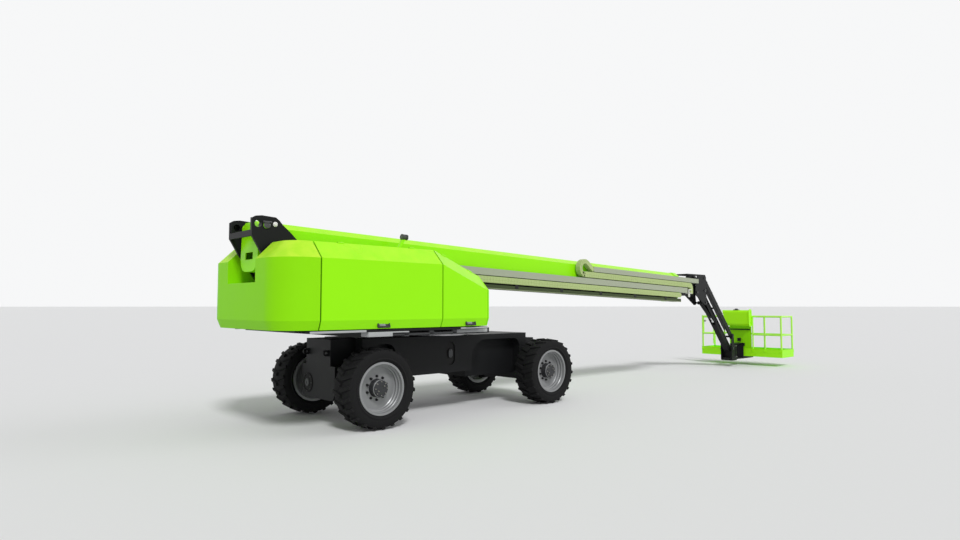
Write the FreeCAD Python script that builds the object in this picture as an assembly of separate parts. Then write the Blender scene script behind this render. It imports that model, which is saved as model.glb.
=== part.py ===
import FreeCAD, Part
import math
import os

# Self-propelled telescopic boom lift with a jib, parked with the boom lowered and drawn in.
# Millimetres. Lengths are laid out from the slew axis: +X towards the platform, +Y to the left, +Z up,
# with the tyres on z = 0. The finished pieces are moved along X by save() so that the origin is on the
# ground half-way between the tail and the platform's front rail.

V = FreeCAD.Vector
X_AXIS = V(1, 0, 0)
Y_AXIS = V(0, 1, 0)
Z_AXIS = V(0, 0, 1)

# --- clearances ---------------------------------------------------------------------------------------
fit_gap = 0.3            # a pin in its bore, a wear pad on its slide, a runner on its rail
move_gap = 8.0           # between panels or plates that pass each other

# --- wheels and tyres ---------------------------------------------------------------------------------
wheelbase = 3652.0
track = 1930.0           # between the tyre centre planes with the axles drawn in
tyre_radius = 577.5
tyre_width = 445.0
bead_radius = 355.6
flange_radius = 375.0
tyre_tread_radius = 547.0
tyre_tread_half = 207.0
lug_count = 22
lug_thickness = 58.0
lug_inner_y = 8.0
lug_slant = 17.0          # degrees away from straight across
lug_depth = 45.0
shoulder_drop = 18.0      # how much lower a lug is at its outer end
lug_reach = 105.0         # how far down the sidewall a lug runs
lug_lean = 34.0
rim_half_width = 190.0
flange_thickness = 15.0
hub_wall = 40.0          # from the spindle's end to the hub's outer face
rim_well_radius = 330.6       # the drum between the two bead seats
rim_bore_radius = 315.0
hub_radius = 125.0
hub_stand_out = 165.0    # hub cover beyond the tyre's centre plane
disc_thickness = 20.0
disc_offset = 20.0       # inner face of the disc beyond the tyre's centre plane
hub_bevel = 25.0

# --- axles --------------------------------------------------------------------------------------------
kingpin_y = 700.0
kingpin_radius = 32.0
spindle_radius = 55.0
carrier_radius = 110.0
beam_width = 160.0
beam_height = 280.0
beam_wall = 16.0
axle_extension = 680.0
beam_inner_reach = 480.0  # how far a beam's tail passes the centre line when drawn in
axle_wall = 25.0
yoke_plate = 40.0
yoke_arm_height = 45.0
yoke_opening = 410.0      # between the two arms of a yoke
yoke_arm_half = 60.0
slide_pad_length = 80.0   # pads at the mouths of the axle box

# --- chassis ------------------------------------------------------------------------------------------
chassis_half_width = 555.0
chassis_top = 1250.0
chassis_bottom = 640.0
chassis_shoulder_x = 1780.0
chassis_end_x = 2200.0
chassis_end_half = 360.0
front_arch_x = 420.0
rear_arch_x = 1180.0
arch_end_x = 1610.0
arch_top = 1160.0
front_arch_radius = 330.0
rear_arch_radius = 150.0
arch_inner_half = 380.0
keel_bottom = 520.0
neck_drop = 110.0         # step down from the chassis top to the front neck
end_housing_half = 490.0
end_housing_top = 860.0
end_housing_bottom = 360.0
end_housing_corner = 120.0
port_x = -60.0
port_z = 955.0
port_half_width = 95.0
port_half_height = 193.0
port_cap_half_width = 48.0
port_cap_half_height = 75.0
port_depth = 30.0
tie_eye_x = 2245.0
tie_eye_y = 300.0
tie_eye_z = 1050.0
tie_eye_bore = 22.0
tie_eye_radius = 45.0
tie_eye_thickness = 30.0

# --- turntable ----------------------------------------------------------------------------------------
ring_radius = 600.0
ring_bore_radius = 470.0
deck_bottom = 1300.0
deck_thickness = 80.0
deck_half_width = 1000.0
deck_rear_x = -2090.0
deck_front_x = 550.0
deck_corner = 150.0
deck_hole_radius = 320.0
tray_thickness = 32.0     # wide tray on the deck, under the covers
tray_half_width = 1200.0
cheek_inner_y = 350.0
cheek_thickness = 40.0
cheek_top = 2977.0
cheek_rear_x = -3430.0
cheek_foot_front_x = -2050.0
root_length = 120.0       # block under the counterweight's front edge
root_half_width = 800.0

# --- covers and counterweight -------------------------------------------------------------------------
cover_half_width = 1245.0
cover_bottom = 1424.0
cover_knee = 1550.0
cover_flare = 50.0        # how far the lower edge is drawn in
cover_shoulder = 2375.0
cover_top = 2610.0
cover_sheet = 20.0
slot_half_width = 464.0
slot_floor = 2060.0
weight_rear_x = -3404.0
weight_front_x = -2866.0
weight_corner_radius = 500.0
cover_split_x = -800.0    # seam between the middle and the front covers
cover_front_x = 169.0
cover_front_drop = 376.0  # how much lower the covers are at their front end
hinge_radius = 12.0
hinge_length = 90.0
hinge_shares = (0.2, 0.8)  # where the hinges stand along a cover
seam_half = 10.0          # half the seam between two covers

# --- engine, tanks and lamp ---------------------------------------------------------------------------
engine_rear_gap = 366.0
engine_front_gap = 450.0
engine_height = 780.0
tank_rear_gap = 416.0
tank_front_gap = 550.0
tank_height = 680.0
block_side_gap = 145.0    # between a block and the cover's outer face
block_slot_gap = 80.0     # between a block and the boom's slot
lamp_x = -1000.0
lamp_radius = 45.0
lamp_half_length = 42.0
lamp_height = 222.0       # lamp's centre above the cover top
lamp_foot_back = 130.0    # bracket's foot behind the lamp
lamp_foot_half = 45.0
lamp_bracket_width = 50.0

# --- boom ---------------------------------------------------------------------------------------------
boom_pivot_x = -3220.0
boom_pivot_z = 2850.0
boom_droop = 1.8          # degrees below level as parked
boom_half_width = 280.0
boom_depth = 700.0
boom_over_pivot = 70.0    # top face above the pivot
boom_floor_half = 110.0   # half width of the flat underside
boom_bevel_width = 110.0
boom_bevel_height = 85.0
boom_wall = 12.0
boom_nest_gap = 20.0      # between one section's inside and the next one's outside
boom_length = 11020.0     # base section, from the pivot to its front end
boom_tail = 63.0          # base section behind the pivot
section_step = 60.0      # each inner section stands out this much further
section_rear_step = 150.0
tail_plate = 16.0
tail_hole_below = 410.0   # centre of the tail's hole below the pivot
tail_hole_half_width = 125.0
tail_hole_half_height = 50.0
collar_thickness = 14.0
collar_length = 160.0
boom_boss_radius = 63.0
boom_pin_radius = 50.0
pivot_boss_radius = 70.0  # dark bosses on the inner faces of the cheeks
lift_hole_x = -3342.0     # crane hole through each cheek behind the pivot
lift_hole_z = 2862.0
lift_hole_radius = 50.0
lift_hole_pad = 80.0      # half the side of the square pad round it
lift_hole_pad_thickness = 30.0
stage_stroke = 8500.0
wear_pad_length = 200.0
wear_pad_height = 120.0
fork_inner_y = 70.0       # fork plates at the tip that hold the jib's head
fork_outer_y = 100.0

# --- hose rails and runs on the boom's right side -----------------------------------------------------
rail_stand_off = 35.0
run_width = 110.0
rail_sheet = 6.0
upper_rail_depth = (105.0, 215.0)    # below the line of the boom's top face
upper_chain_depth = (228.0, 348.0)
lower_rail_depth = (365.0, 490.0)
lower_chain_depth = (505.0, 622.0)
upper_rail_start = 4080.0
run_start = -2100.0
upper_rail_past = 770.0              # ends past the base section's front end
upper_chain_past = 330.0
lower_rail_past = 200.0
lower_chain_short = 160.0
loop_outer = 190.0
loop_inner = 100.0
loop_end_angle = 55.0
loop_behind = 300.0                  # centre of the return loop behind the upper rail's rear end
bracket_length = 50.0
turn_inner = 25.0                    # inner radius of the bend at the upper run's front end
turn_drop = 130.0

# --- lift cylinder ------------------------------------------------------------------------------------
lift_base_x = -2500.0
lift_base_z = 1600.0
lift_eye_along = 3200.0   # along the boom from the pivot
lift_eye_below = 735.0
lift_barrel_radius = 115.0
lift_rod_radius = 72.0
lift_eye_radius = 105.0
lift_pin_radius = 45.0
lift_lug_thickness = 30.0
lift_eye_play = 4.0       # how much wider the rod's eye is than the rod, each side
lift_gland = 330.0        # from the barrel's end to the rod's eye

# --- jib ----------------------------------------------------------------------------------------------
jib_level_ahead = 1150.0  # levelling pivot ahead of the base section's front end
jib_level_below = 428.0   # and below the line of the boom's top face
jib_pivot_ahead = 410.0   # lower link pivot ahead of the levelling pivot
jib_pivot_above = 50.0
jib_pivot_rise = 340.0    # upper link pivots above the lower ones
jib_length = 2284.0
jib_angle = -45.9         # degrees from level as parked
jib_arm_half_width = 75.0
jib_arm_half_depth = 80.0
jib_link_width = 40.0
jib_link_half_depth = 68.0
jib_cheek_inner = 150.0
jib_cheek_thickness = 22.0
jib_pin_radius = 32.0
jib_eye_along = 1150.0
jib_eye_below = 30.0
jib_base_ahead = 60.0
jib_base_below = 330.0
jib_base_pin_radius = 25.0
jib_barrel_radius = 45.0
jib_rod_radius = 28.0
jib_arm_wall = 14.0
jib_eye_half = 31.0        # half the width of the rod's eye
head_arm_reach = 930.0     # the head's upper plates run back this far over the boom's tip
upper_pin_radius = 26.0
bracket_plate = 20.0
bracket_drop = 350.0       # foot of the platform bracket below the lower pivot

# --- platform -----------------------------------------------------------------------------------------
platform_reach = 835.0    # rear of the platform ahead of the jib's foot pivots
platform_depth = 820.0
platform_half_width = 1220.0
floor_below_pivot = 260.0
floor_thickness = 14.0
toe_board_height = 230.0
toe_board_sheet = 6.0
rail_radius = 23.0
post_radius = 20.5
corner_post_radius = 25.0
mid_rail_height = 640.0   # rails above the floor
top_rail_height = 1170.0
gate_hinge_offset = 66.0
front_post_y = 390.0
side_post_y = -730.0
rotator_reach = 380.0     # rotary actuator ahead of the jib's foot pivots
rotator_radius = 88.0
rotator_top_rise = 100.0  # above the lower foot pivot
rotator_bottom_drop = 305.0
console_height = 1362.0   # top of the console above the floor
console_rise = 470.0      # from its lower edge to its top
console_depth = 185.0
console_overhang = 165.0  # behind the platform's rear rail
console_left_y = 470.0
console_slant = 150.0     # how far the left end leans in at its foot
console_right_y = -345.0
console_sheet = 8.0
console_hole_radius = 34.0
end_plate_thickness = 14.0
mount_plate = 30.0

# --- places that follow from the sizes above ----------------------------------------------------------
axle_x = wheelbase / 2
wheel_y = track / 2
wheel_z = tyre_radius
beam_slot_width = beam_width + 2 * move_gap
beam_slot_height = beam_height + 2 * move_gap
beam_offset_x = beam_slot_width / 2 + axle_wall / 2
axle_half_x = beam_slot_width + axle_wall * 1.5
axle_half_z = beam_slot_height / 2 + axle_wall
axle_box_half = chassis_half_width
deck_top = deck_bottom + deck_thickness
tray_top = deck_top + tray_thickness
base_front_x = boom_pivot_x + boom_length
boom_fall = math.tan(math.radians(boom_droop))
boom_pivot = V(boom_pivot_x, 0, boom_pivot_z)
jib_level_x = base_front_x + jib_level_ahead
jib_level_z = (boom_pivot_z + boom_over_pivot - boom_fall * (jib_level_x - boom_pivot_x)
               - jib_level_below)
jib_pivot_x = jib_level_x + jib_pivot_ahead
jib_pivot_z = jib_level_z + jib_pivot_above
jib_angle_rad = math.radians(jib_angle)
jib_reach = V(jib_length * math.cos(jib_angle_rad), 0, jib_length * math.sin(jib_angle_rad))
jib_pivot = V(jib_pivot_x, 0, jib_pivot_z)
jib_end = jib_pivot + jib_reach
jib_rise = V(0, 0, jib_pivot_rise)
platform_rear_x = jib_end.x + platform_reach
platform_front_x = platform_rear_x + platform_depth
platform_floor_z = jib_end.z - floor_below_pivot
toe_board_top = platform_floor_z + toe_board_height
mid_rail_z = platform_floor_z + mid_rail_height
top_rail_z = platform_floor_z + top_rail_height
console_top = platform_floor_z + console_height
console_bottom = console_top - console_rise
rotator_x = jib_end.x + rotator_reach
rotator_top = jib_end.z + rotator_top_rise
rotator_bottom = jib_end.z - rotator_bottom_drop
rail_inner_y = boom_half_width + rail_stand_off
nose_x = platform_front_x
origin_x = (cheek_rear_x + nose_x) / 2
gate_hinge_x = platform_front_x - corner_post_radius - gate_hinge_offset
gate_y = platform_half_width - corner_post_radius
gate_bottom = toe_board_top + 90
gate_top = top_rail_z - 30


# --- small helpers ------------------------------------------------------------------------------------
def box(x0, x1, y0, y1, z0, z1):
    corner = V(min(x0, x1), min(y0, y1), min(z0, z1))
    return Part.makeBox(abs(x1 - x0), abs(y1 - y0), abs(z1 - z0), corner)


def mirror_y(shape):
    return shape.mirror(V(0, 0, 0), Y_AXIS)


def mirror_x(shape):
    return shape.mirror(V(0, 0, 0), X_AXIS)


def closed_wire(points):
    return Part.makePolygon(points + [points[0]])


def plate_y(outline, y0, y1):
    """A plate whose outline is given as (x, z) and whose faces are at y0 and y1."""
    face = Part.Face(closed_wire([V(x, y0, z) for x, z in outline]))
    return face.extrude(V(0, y1 - y0, 0))


def plate_x(outline, x0, x1):
    """A plate whose outline is given as (y, z) and whose faces are at x0 and x1."""
    face = Part.Face(closed_wire([V(x0, y, z) for y, z in outline]))
    return face.extrude(V(x1 - x0, 0, 0))


def plate_z(outline, z0, z1):
    """A plate whose outline is given as (x, y) and whose faces are at z0 and z1."""
    face = Part.Face(closed_wire([V(x, y, z0) for x, y in outline]))
    return face.extrude(V(0, 0, z1 - z0))


def bar_y(x, z, radius, y0, y1):
    """A round bar along Y."""
    return Part.makeCylinder(radius, abs(y1 - y0), V(x, min(y0, y1), z), Y_AXIS)


def bar_z(x, y, radius, z0, z1):
    """A round bar along Z."""
    return Part.makeCylinder(radius, abs(z1 - z0), V(x, y, min(z0, z1)), Z_AXIS)


def bar_between(start, end, radius):
    """A round bar from one point to another."""
    run = end - start
    return Part.makeCylinder(radius, run.Length, start, run)


def fused(first, *others):
    return first.fuse(list(others)).removeSplitter()


def round_edges(shape, radius, wanted):
    """Fillet the edges of a shape for which wanted(edge) is true."""
    edges = [e for e in shape.Edges if wanted(e)]
    return shape.makeFillet(radius, edges)


def runs_along(axis):
    def wanted(edge):
        if not isinstance(edge.Curve, (Part.Line, Part.LineSegment)):
            return False
        return abs(edge.tangentAt(edge.FirstParameter).dot(axis)) > 0.999
    return wanted


def turned_y(outline, centre):
    """Turn an outline of (radius, distance along Y) points about a line along Y through centre."""
    points = [centre + V(0, w, r) for r, w in outline]
    face = Part.Face(closed_wire(points))
    return face.revolve(centre, Y_AXIS, 360)


def drooped(shape):
    """Turn a piece drawn on a level boom down to the parked angle about the boom's pivot."""
    moved = shape.copy()
    moved.rotate(boom_pivot, Y_AXIS, boom_droop)
    return moved


def save(name, *solids):
    """Write one node, moved so that the origin is half-way along the machine."""
    shape = solids[0].copy() if len(solids) == 1 else Part.makeCompound(list(solids))
    shape.translate(V(-origin_x, 0, 0))
    shape.exportStep("parts/" + name + ".step")


# --- undercarriage ------------------------------------------------------------------------------------
def arch_recess(end, side):
    """The pocket in a chassis side that a steered tyre swings into, rounded at its top corners."""
    start_x = front_arch_x if end > 0 else rear_arch_x
    radius = front_arch_radius if end > 0 else rear_arch_radius
    pocket = box(start_x, arch_end_x, arch_inner_half, chassis_half_width + 10, keel_bottom - 200, arch_top)
    inner = [e for e in pocket.Edges if runs_along(Y_AXIS)(e) and e.CenterOfMass.z > arch_top - 1
             and e.CenterOfMass.x < start_x + 1]
    pocket = pocket.makeFillet(radius, inner)
    outer = [e for e in pocket.Edges if runs_along(Y_AXIS)(e) and e.CenterOfMass.z > arch_top - 1
             and e.CenterOfMass.x > arch_end_x - 1]
    pocket = pocket.makeFillet(rear_arch_radius, outer)
    if end < 0:
        pocket = mirror_x(pocket)
    return pocket if side > 0 else mirror_y(pocket)


def chassis_frame():
    """The box between the axles with its four arch pockets and keels, and a narrower neck over each axle."""
    body = box(-chassis_shoulder_x, chassis_shoulder_x, -chassis_half_width, chassis_half_width,
               chassis_bottom, chassis_top)
    for end, start_x in ((1, front_arch_x), (-1, rear_arch_x)):
        keel = box(end * start_x, end * chassis_shoulder_x, -arch_inner_half, arch_inner_half, keel_bottom,
                   chassis_bottom)
        body = body.fuse(keel)
        for side in (1, -1):
            body = body.cut(arch_recess(end, side))
    neck_bottom = end_housing_top - 100
    neck_top = chassis_top - neck_drop
    front_neck = plate_y([(chassis_shoulder_x, neck_bottom), (chassis_shoulder_x, chassis_top),
                          (chassis_shoulder_x + neck_drop, neck_top), (chassis_end_x, neck_top),
                          (chassis_end_x, neck_bottom)], -chassis_end_half, chassis_end_half)
    rear_neck = box(-chassis_end_x, -chassis_shoulder_x, -chassis_end_half, chassis_end_half, neck_bottom,
                    chassis_top)
    housings = [end_housing(end) for end in (1, -1)]
    eyes = [tie_eye(end, side) for end in (1, -1) for side in (1, -1)]
    body = fused(body, front_neck, rear_neck, *(housings + eyes))
    for end in (1, -1):
        room = box(end * (axle_x - axle_half_x), end * (axle_x + axle_half_x), -chassis_half_width - 50,
                   chassis_half_width + 50, end_housing_bottom - 50, wheel_z + axle_half_z)
        body = body.cut(room)
    for side in (1, -1):
        body = body.cut(side_port(side))
    return body


def obround(half_width, half_height, x, z, y0, y1):
    """An upright slot shape with round ends, between y0 and y1."""
    straight = half_height - half_width
    bar = box(x - half_width, x + half_width, y0, y1, z - straight, z + straight)
    return fused(bar, bar_y(x, z + straight, half_width, y0, y1), bar_y(x, z - straight, half_width, y0, y1))


def side_port(side):
    """The ring-shaped recess of an upright port in the chassis side."""
    face = side * (chassis_half_width + 1)
    ring = obround(port_half_width, port_half_height, port_x, port_z, face, face - side * (port_depth + 1))
    cap = obround(port_cap_half_width, port_cap_half_height, port_x, port_z, face,
                  face - side * (port_depth + 2))
    return ring.cut(cap)


def end_housing(end):
    """The rounded box that closes the chassis outside each axle."""
    inner_x = axle_x + axle_half_x
    block = box(inner_x, chassis_end_x, -end_housing_half, end_housing_half, end_housing_bottom,
                end_housing_top)
    low = [e for e in block.Edges if runs_along(X_AXIS)(e) and e.CenterOfMass.z < end_housing_bottom + 1]
    block = block.makeFillet(end_housing_corner, low)
    return block if end > 0 else mirror_x(block)


def tie_eye(end, side):
    """A tie-down plate with a shackle hole on the outer face of an end housing."""
    half = tie_eye_thickness / 2
    y = side * tie_eye_y
    x = end * tie_eye_x
    root = box(end * chassis_end_x, x, y - half, y + half, tie_eye_z - tie_eye_radius,
               tie_eye_z + tie_eye_radius)
    nose = bar_y(x, tie_eye_z, tie_eye_radius, y - half, y + half)
    return fused(root, nose).cut(bar_y(x, tie_eye_z, tie_eye_bore, y - half - 1, y + half + 1))


def axle_box(end):
    """A fixed axle box with two side-by-side slots, one for each sliding beam, and pads at the mouths."""
    x = end * axle_x
    shell = box(x - axle_half_x, x + axle_half_x, -axle_box_half, axle_box_half, wheel_z - axle_half_z,
                wheel_z + axle_half_z)
    for side in (1, -1):
        centre = x + side * beam_offset_x
        slot = box(centre - beam_slot_width / 2, centre + beam_slot_width / 2, -axle_box_half - 1,
                   axle_box_half + 1, wheel_z - beam_slot_height / 2, wheel_z + beam_slot_height / 2)
        shell = shell.cut(slot)
        for level in (1, -1):
            outer = wheel_z + level * beam_slot_height / 2
            pad = box(centre - beam_width / 2, centre + beam_width / 2,
                      side * (axle_box_half - slide_pad_length), side * axle_box_half, outer,
                      wheel_z + level * (beam_height / 2 + fit_gap))
            shell = shell.fuse(pad)
    return shell.removeSplitter()


def axle_beam(end, side):
    """A sliding beam with the yoke that carries one kingpin."""
    x = end * axle_x
    centre = x + side * beam_offset_x
    inner = -side * beam_inner_reach
    yoke_root = side * (axle_box_half + move_gap)
    half_w = beam_width / 2
    half_h = beam_height / 2
    tube = box(centre - half_w, centre + half_w, inner, yoke_root, wheel_z - half_h, wheel_z + half_h)
    bore = box(centre - half_w + beam_wall, centre + half_w - beam_wall, inner - side, yoke_root - side * 60,
               wheel_z - half_h + beam_wall, wheel_z + half_h - beam_wall)
    tube = tube.cut(bore)
    arm_top = yoke_opening / 2 + yoke_arm_height
    far_x = side * (beam_offset_x + half_w)
    near_x = -side * yoke_arm_half
    web = box(x + near_x, x + far_x, yoke_root, yoke_root + side * yoke_plate, wheel_z - arm_top,
              wheel_z + arm_top)
    parts = [tube, web]
    for level in (1, -1):
        low = wheel_z + level * yoke_opening / 2
        high = wheel_z + level * arm_top
        arm = box(x - yoke_arm_half, x + yoke_arm_half, yoke_root + side * yoke_plate, side * kingpin_y,
                  low, high)
        end_round = bar_z(x, side * kingpin_y, yoke_arm_half, low, high)
        parts += [arm, end_round]
    beam = fused(*parts)
    bore_pin = bar_z(x, side * kingpin_y, kingpin_radius + fit_gap, wheel_z - arm_top - 1,
                     wheel_z + arm_top + 1)
    return beam.cut(bore_pin)


def knuckle(end, side):
    """Kingpin, wheel motor housing and spindle, turning in the yoke."""
    x = end * axle_x
    half = yoke_opening / 2
    reach = half + yoke_arm_height
    post = bar_z(x, side * kingpin_y, yoke_arm_half, wheel_z - half + fit_gap, wheel_z + half - fit_gap)
    pin = bar_z(x, side * kingpin_y, kingpin_radius, wheel_z - reach, wheel_z + reach)
    housing = bar_y(x, wheel_z, carrier_radius, side * (kingpin_y - 40), side * (wheel_y - 6))
    tip = wheel_y + hub_stand_out - hub_wall - 5
    spindle = bar_y(x, wheel_z, spindle_radius, side * kingpin_y, side * tip)
    return fused(post, pin, housing, spindle)


def wheel_centre(end, side):
    return V(end * axle_x, side * wheel_y, wheel_z)


def rim(end, side):
    """Wheel disc with its hub cover, stepped rim well and two flanges, as one turned piece."""
    f = flange_radius
    b = bead_radius
    h = rim_half_width
    lip = flange_thickness
    face = disc_offset + disc_thickness
    bore = rim_bore_radius
    socket = hub_stand_out - hub_wall
    seat = spindle_radius + fit_gap
    outline = [(0, socket), (seat, socket), (seat, 0), (hub_radius, 0),
               (hub_radius, disc_offset), (bore, disc_offset), (bore, -h + lip), (bore + 25, -h), (f, -h),
               (f, -h + lip), (b - fit_gap, -h + lip), (b - fit_gap, -100), (rim_well_radius, -80),
               (rim_well_radius, 60), (b - fit_gap, 90), (b - fit_gap, h - lip), (f, h - lip), (f, h),
               (f - 30, h), (f - 38, h - 45), (f - 48, h - 55), (f - 48, h - 95), (bore - 3, h - 105),
               (bore - 3, h - 140), (bore - 15, face), (hub_radius, face), (hub_radius, hub_stand_out - 15),
               (hub_radius - hub_bevel, hub_stand_out), (0, hub_stand_out)]
    outline = [(r, side * w) for r, w in outline]
    return turned_y(outline, wheel_centre(end, side))


def tyre(end, side):
    """A lugged tyre: a ring of flat faces with slanting lugs over both shoulders."""
    bead_y = rim_half_width - flange_thickness - 0.5
    round_up = 1 / math.cos(math.pi / lug_count)
    bore = bead_radius * round_up
    rings = [(bore, bead_y), ((flange_radius + 1.5) * round_up, bead_y), (tyre_tread_radius, tyre_tread_half)]
    rings = [(r, -y) for r, y in rings] + [(r, y) for r, y in reversed(rings)]
    rows = [tyre_corners(r, y) for r, y in rings]
    faces = []
    for row, other in zip(rows, rows[1:] + rows[:1]):
        for i in range(lug_count):
            j = (i + 1) % lug_count
            faces.append(Part.Face(closed_wire([row[i], row[j], other[j], other[i]])))
    carcass = Part.makeSolid(Part.makeShell(faces))
    lugs = []
    for i in range(lug_count):
        for row in (1, -1):
            lug = tyre_lug(row)
            lug.rotate(V(0, 0, 0), Y_AXIS, 360.0 / lug_count * (i + (0 if row > 0 else 0.5)))
            lugs.append(lug)
    whole = carcass.fuse(lugs)
    whole.translate(wheel_centre(end, side))
    return whole


def tyre_corners(radius, y):
    """A regular ring of corners round the wheel's axis, with a flat at the bottom."""
    angles = [math.radians(360.0 / lug_count * (i + 0.5) - 90) for i in range(lug_count)]
    return [V(radius * math.cos(a), y, radius * math.sin(a)) for a in angles]


def tyre_lug(row):
    """One lug at the bottom of a tyre: a straight block from near the middle to the sidewall, slanted."""
    w = tyre_width / 2
    half = lug_thickness / 2
    outline = [(lug_inner_y, -tyre_radius + lug_depth), (lug_inner_y, -tyre_radius),
               (w, -tyre_radius + shoulder_drop), (w - lug_lean, -tyre_radius + lug_reach)]
    face = Part.Face(closed_wire([V(-half, row * y, z) for y, z in outline]))
    lug = face.extrude(V(lug_thickness, 0, 0))
    lug.rotate(V(0, row * lug_inner_y, 0), Z_AXIS, row * lug_slant)
    return lug


# --- turntable ----------------------------------------------------------------------------------------
def slew_ring():
    """The bearing ring bolted to the chassis top."""
    ring = Part.makeCylinder(ring_radius, deck_bottom - fit_gap - chassis_top, V(0, 0, chassis_top))
    return ring.cut(Part.makeCylinder(ring_bore_radius, 200, V(0, 0, chassis_top - 50)))


def cheek(side):
    """One of the two tall plates that carry the boom's pivot and the lift cylinder."""
    rear = cheek_rear_x
    top = cheek_top
    foot = slot_floor + 20
    outline = [(rear, top - 277), (rear, top - 47), (rear + 54, top - 12), (rear + 140, top),
               (rear + 340, top - 12), (rear + 400, top - 57), (rear + 440, top - 107),
               (rear + 550, top - 197), (rear + 660, top - 302), (rear + 980, top - 627),
               (cheek_foot_front_x, deck_top), (weight_front_x + 26, deck_top), (weight_front_x + 26, foot),
               (rear + 420, foot), (rear + 130, top - 497)]
    y0 = side * cheek_inner_y
    y1 = side * (cheek_inner_y + cheek_thickness)
    plate = plate_y(outline, y0, y1)
    boss = bar_y(boom_pivot_x, boom_pivot_z, pivot_boss_radius, side * (boom_half_width + move_gap), y0)
    pad = box(lift_hole_x - lift_hole_pad, lift_hole_x + lift_hole_pad, y0 - side * lift_hole_pad_thickness,
              y0, lift_hole_z - lift_hole_pad, lift_hole_z + lift_hole_pad)
    plate = fused(plate, boss, pad)
    for x, z, r in ((boom_pivot_x, boom_pivot_z, boom_pin_radius + fit_gap),
                    (lift_base_x, lift_base_z, lift_pin_radius + fit_gap),
                    (lift_hole_x, lift_hole_z, lift_hole_radius)):
        plate = plate.cut(bar_y(x, z, r, side * boom_half_width, y1 + side * 5))
    return plate


def turntable_frame():
    """Deck and tray, the two boom cheeks, the crossbar behind the boom's tail and the root under the counterweight."""
    c = deck_corner
    deck = plate_z([(deck_rear_x, -deck_half_width), (deck_front_x - c, -deck_half_width),
                    (deck_front_x, -deck_half_width + c), (deck_front_x, deck_half_width - c),
                    (deck_front_x - c, deck_half_width), (deck_rear_x, deck_half_width)],
                   deck_bottom, deck_top)
    tray = box(weight_front_x, cover_front_x, -tray_half_width, tray_half_width, deck_top, tray_top)
    deck = deck.fuse(tray).cut(bar_z(0, 0, deck_hole_radius, deck_bottom - 1, tray_top + 1))
    crossbar = box(cheek_rear_x, cheek_rear_x + 30, -cheek_inner_y, cheek_inner_y, cheek_top - 287,
                   cheek_top - 202)
    brace_x = lift_base_x + 100
    brace = box(brace_x, brace_x + 25, -cheek_inner_y, cheek_inner_y, deck_top, deck_top + 90)
    root = box(weight_front_x - root_length, weight_front_x, -root_half_width, root_half_width, deck_top,
               cover_bottom - fit_gap)
    return fused(deck, cheek(1), cheek(-1), crossbar, brace, root)


def weight_plan(inset, z):
    """Plan outline of the counterweight: square at the front seam, well rounded at the two rear corners."""
    rear = weight_rear_x + inset
    half = cover_half_width - inset
    r = weight_corner_radius - inset
    k = r * math.cos(math.radians(45))
    cx = rear + r
    cy = half - r
    edges = [Part.makeLine(V(weight_front_x, -half, z), V(weight_front_x, half, z)),
             Part.makeLine(V(weight_front_x, half, z), V(cx, half, z)),
             Part.Arc(V(cx, half, z), V(cx - k, cy + k, z), V(rear, cy, z)).toShape(),
             Part.makeLine(V(rear, cy, z), V(rear, -cy, z)),
             Part.Arc(V(rear, -cy, z), V(cx - k, -cy - k, z), V(cx, -half, z)).toShape(),
             Part.makeLine(V(cx, -half, z), V(weight_front_x, -half, z))]
    return Part.Wire(edges)


def counterweight():
    """Cast block with a bevelled top edge, a drawn-in foot and the slot that the boom's tail lies in."""
    bevel = cover_top - cover_shoulder
    foot = Part.makeLoft([weight_plan(cover_flare, cover_bottom), weight_plan(0, cover_knee)], True, True)
    body = Part.Face(weight_plan(0, cover_knee)).extrude(V(0, 0, cover_shoulder - cover_knee))
    head = Part.makeLoft([weight_plan(0, cover_shoulder), weight_plan(bevel, cover_top)], True, True)
    block = fused(body, foot, head)
    slot = box(weight_rear_x - 10, weight_front_x + 10, -slot_half_width, slot_half_width, slot_floor,
               cover_top + 10)
    return block.cut(slot)


def cover_section(x, drop, thickness):
    """Closed (y, z) section of a cover's sheet at x, its top lowered by drop."""
    bevel = cover_top - cover_shoulder
    t = thickness
    k = t * math.tan(math.radians(22.5))
    outer = [(cover_half_width - cover_flare, cover_bottom), (cover_half_width, cover_knee),
             (cover_half_width, cover_shoulder - drop), (cover_half_width - bevel, cover_top - drop)]
    inner = [(cover_half_width - bevel, cover_top - drop - t * math.sqrt(2)),
             (cover_half_width - t, cover_shoulder - drop - k),
             (cover_half_width - t, cover_knee + t * 0.2), (cover_half_width - cover_flare - t, cover_bottom)]
    return Part.makePolygon([V(x, y, z) for y, z in outer + inner + outer[:1]])


def hinge_line(span):
    """The two ends of a cover's hinge line, on the left-hand side."""
    y = cover_half_width - (cover_top - cover_shoulder)
    if span == "middle":
        return V(weight_front_x + 2 * seam_half, y, cover_top), V(cover_split_x - seam_half, y, cover_top)
    return V(cover_split_x + seam_half, y, cover_top), V(cover_front_x - 30, y, cover_top - cover_front_drop)


def hinge_barrels(span, radius, extra):
    """Two hinge barrels on a cover's hinge line."""
    start, end = hinge_line(span)
    run = end - start
    along = V(run.x, run.y, run.z)
    along.normalize()
    barrels = []
    for share in hinge_shares:
        middle = start + run * share
        half = along * (hinge_length / 2 + extra)
        barrels.append(bar_between(middle - half, middle + half, radius))
    return barrels


def side_cover(span, side):
    """A lift-up side cover: flared foot, flat side and bevelled shoulder, hinged along its top edge."""
    start, end = hinge_line(span)
    drop_start = cover_top - start.z
    drop_end = cover_top - end.z
    sheet = Part.makeLoft([cover_section(start.x, drop_start, cover_sheet),
                           cover_section(end.x, drop_end, cover_sheet)], True, True)
    for barrel in hinge_barrels(span, hinge_radius + fit_gap, fit_gap):
        sheet = sheet.cut(barrel)
    return sheet if side > 0 else mirror_y(sheet)


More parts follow.
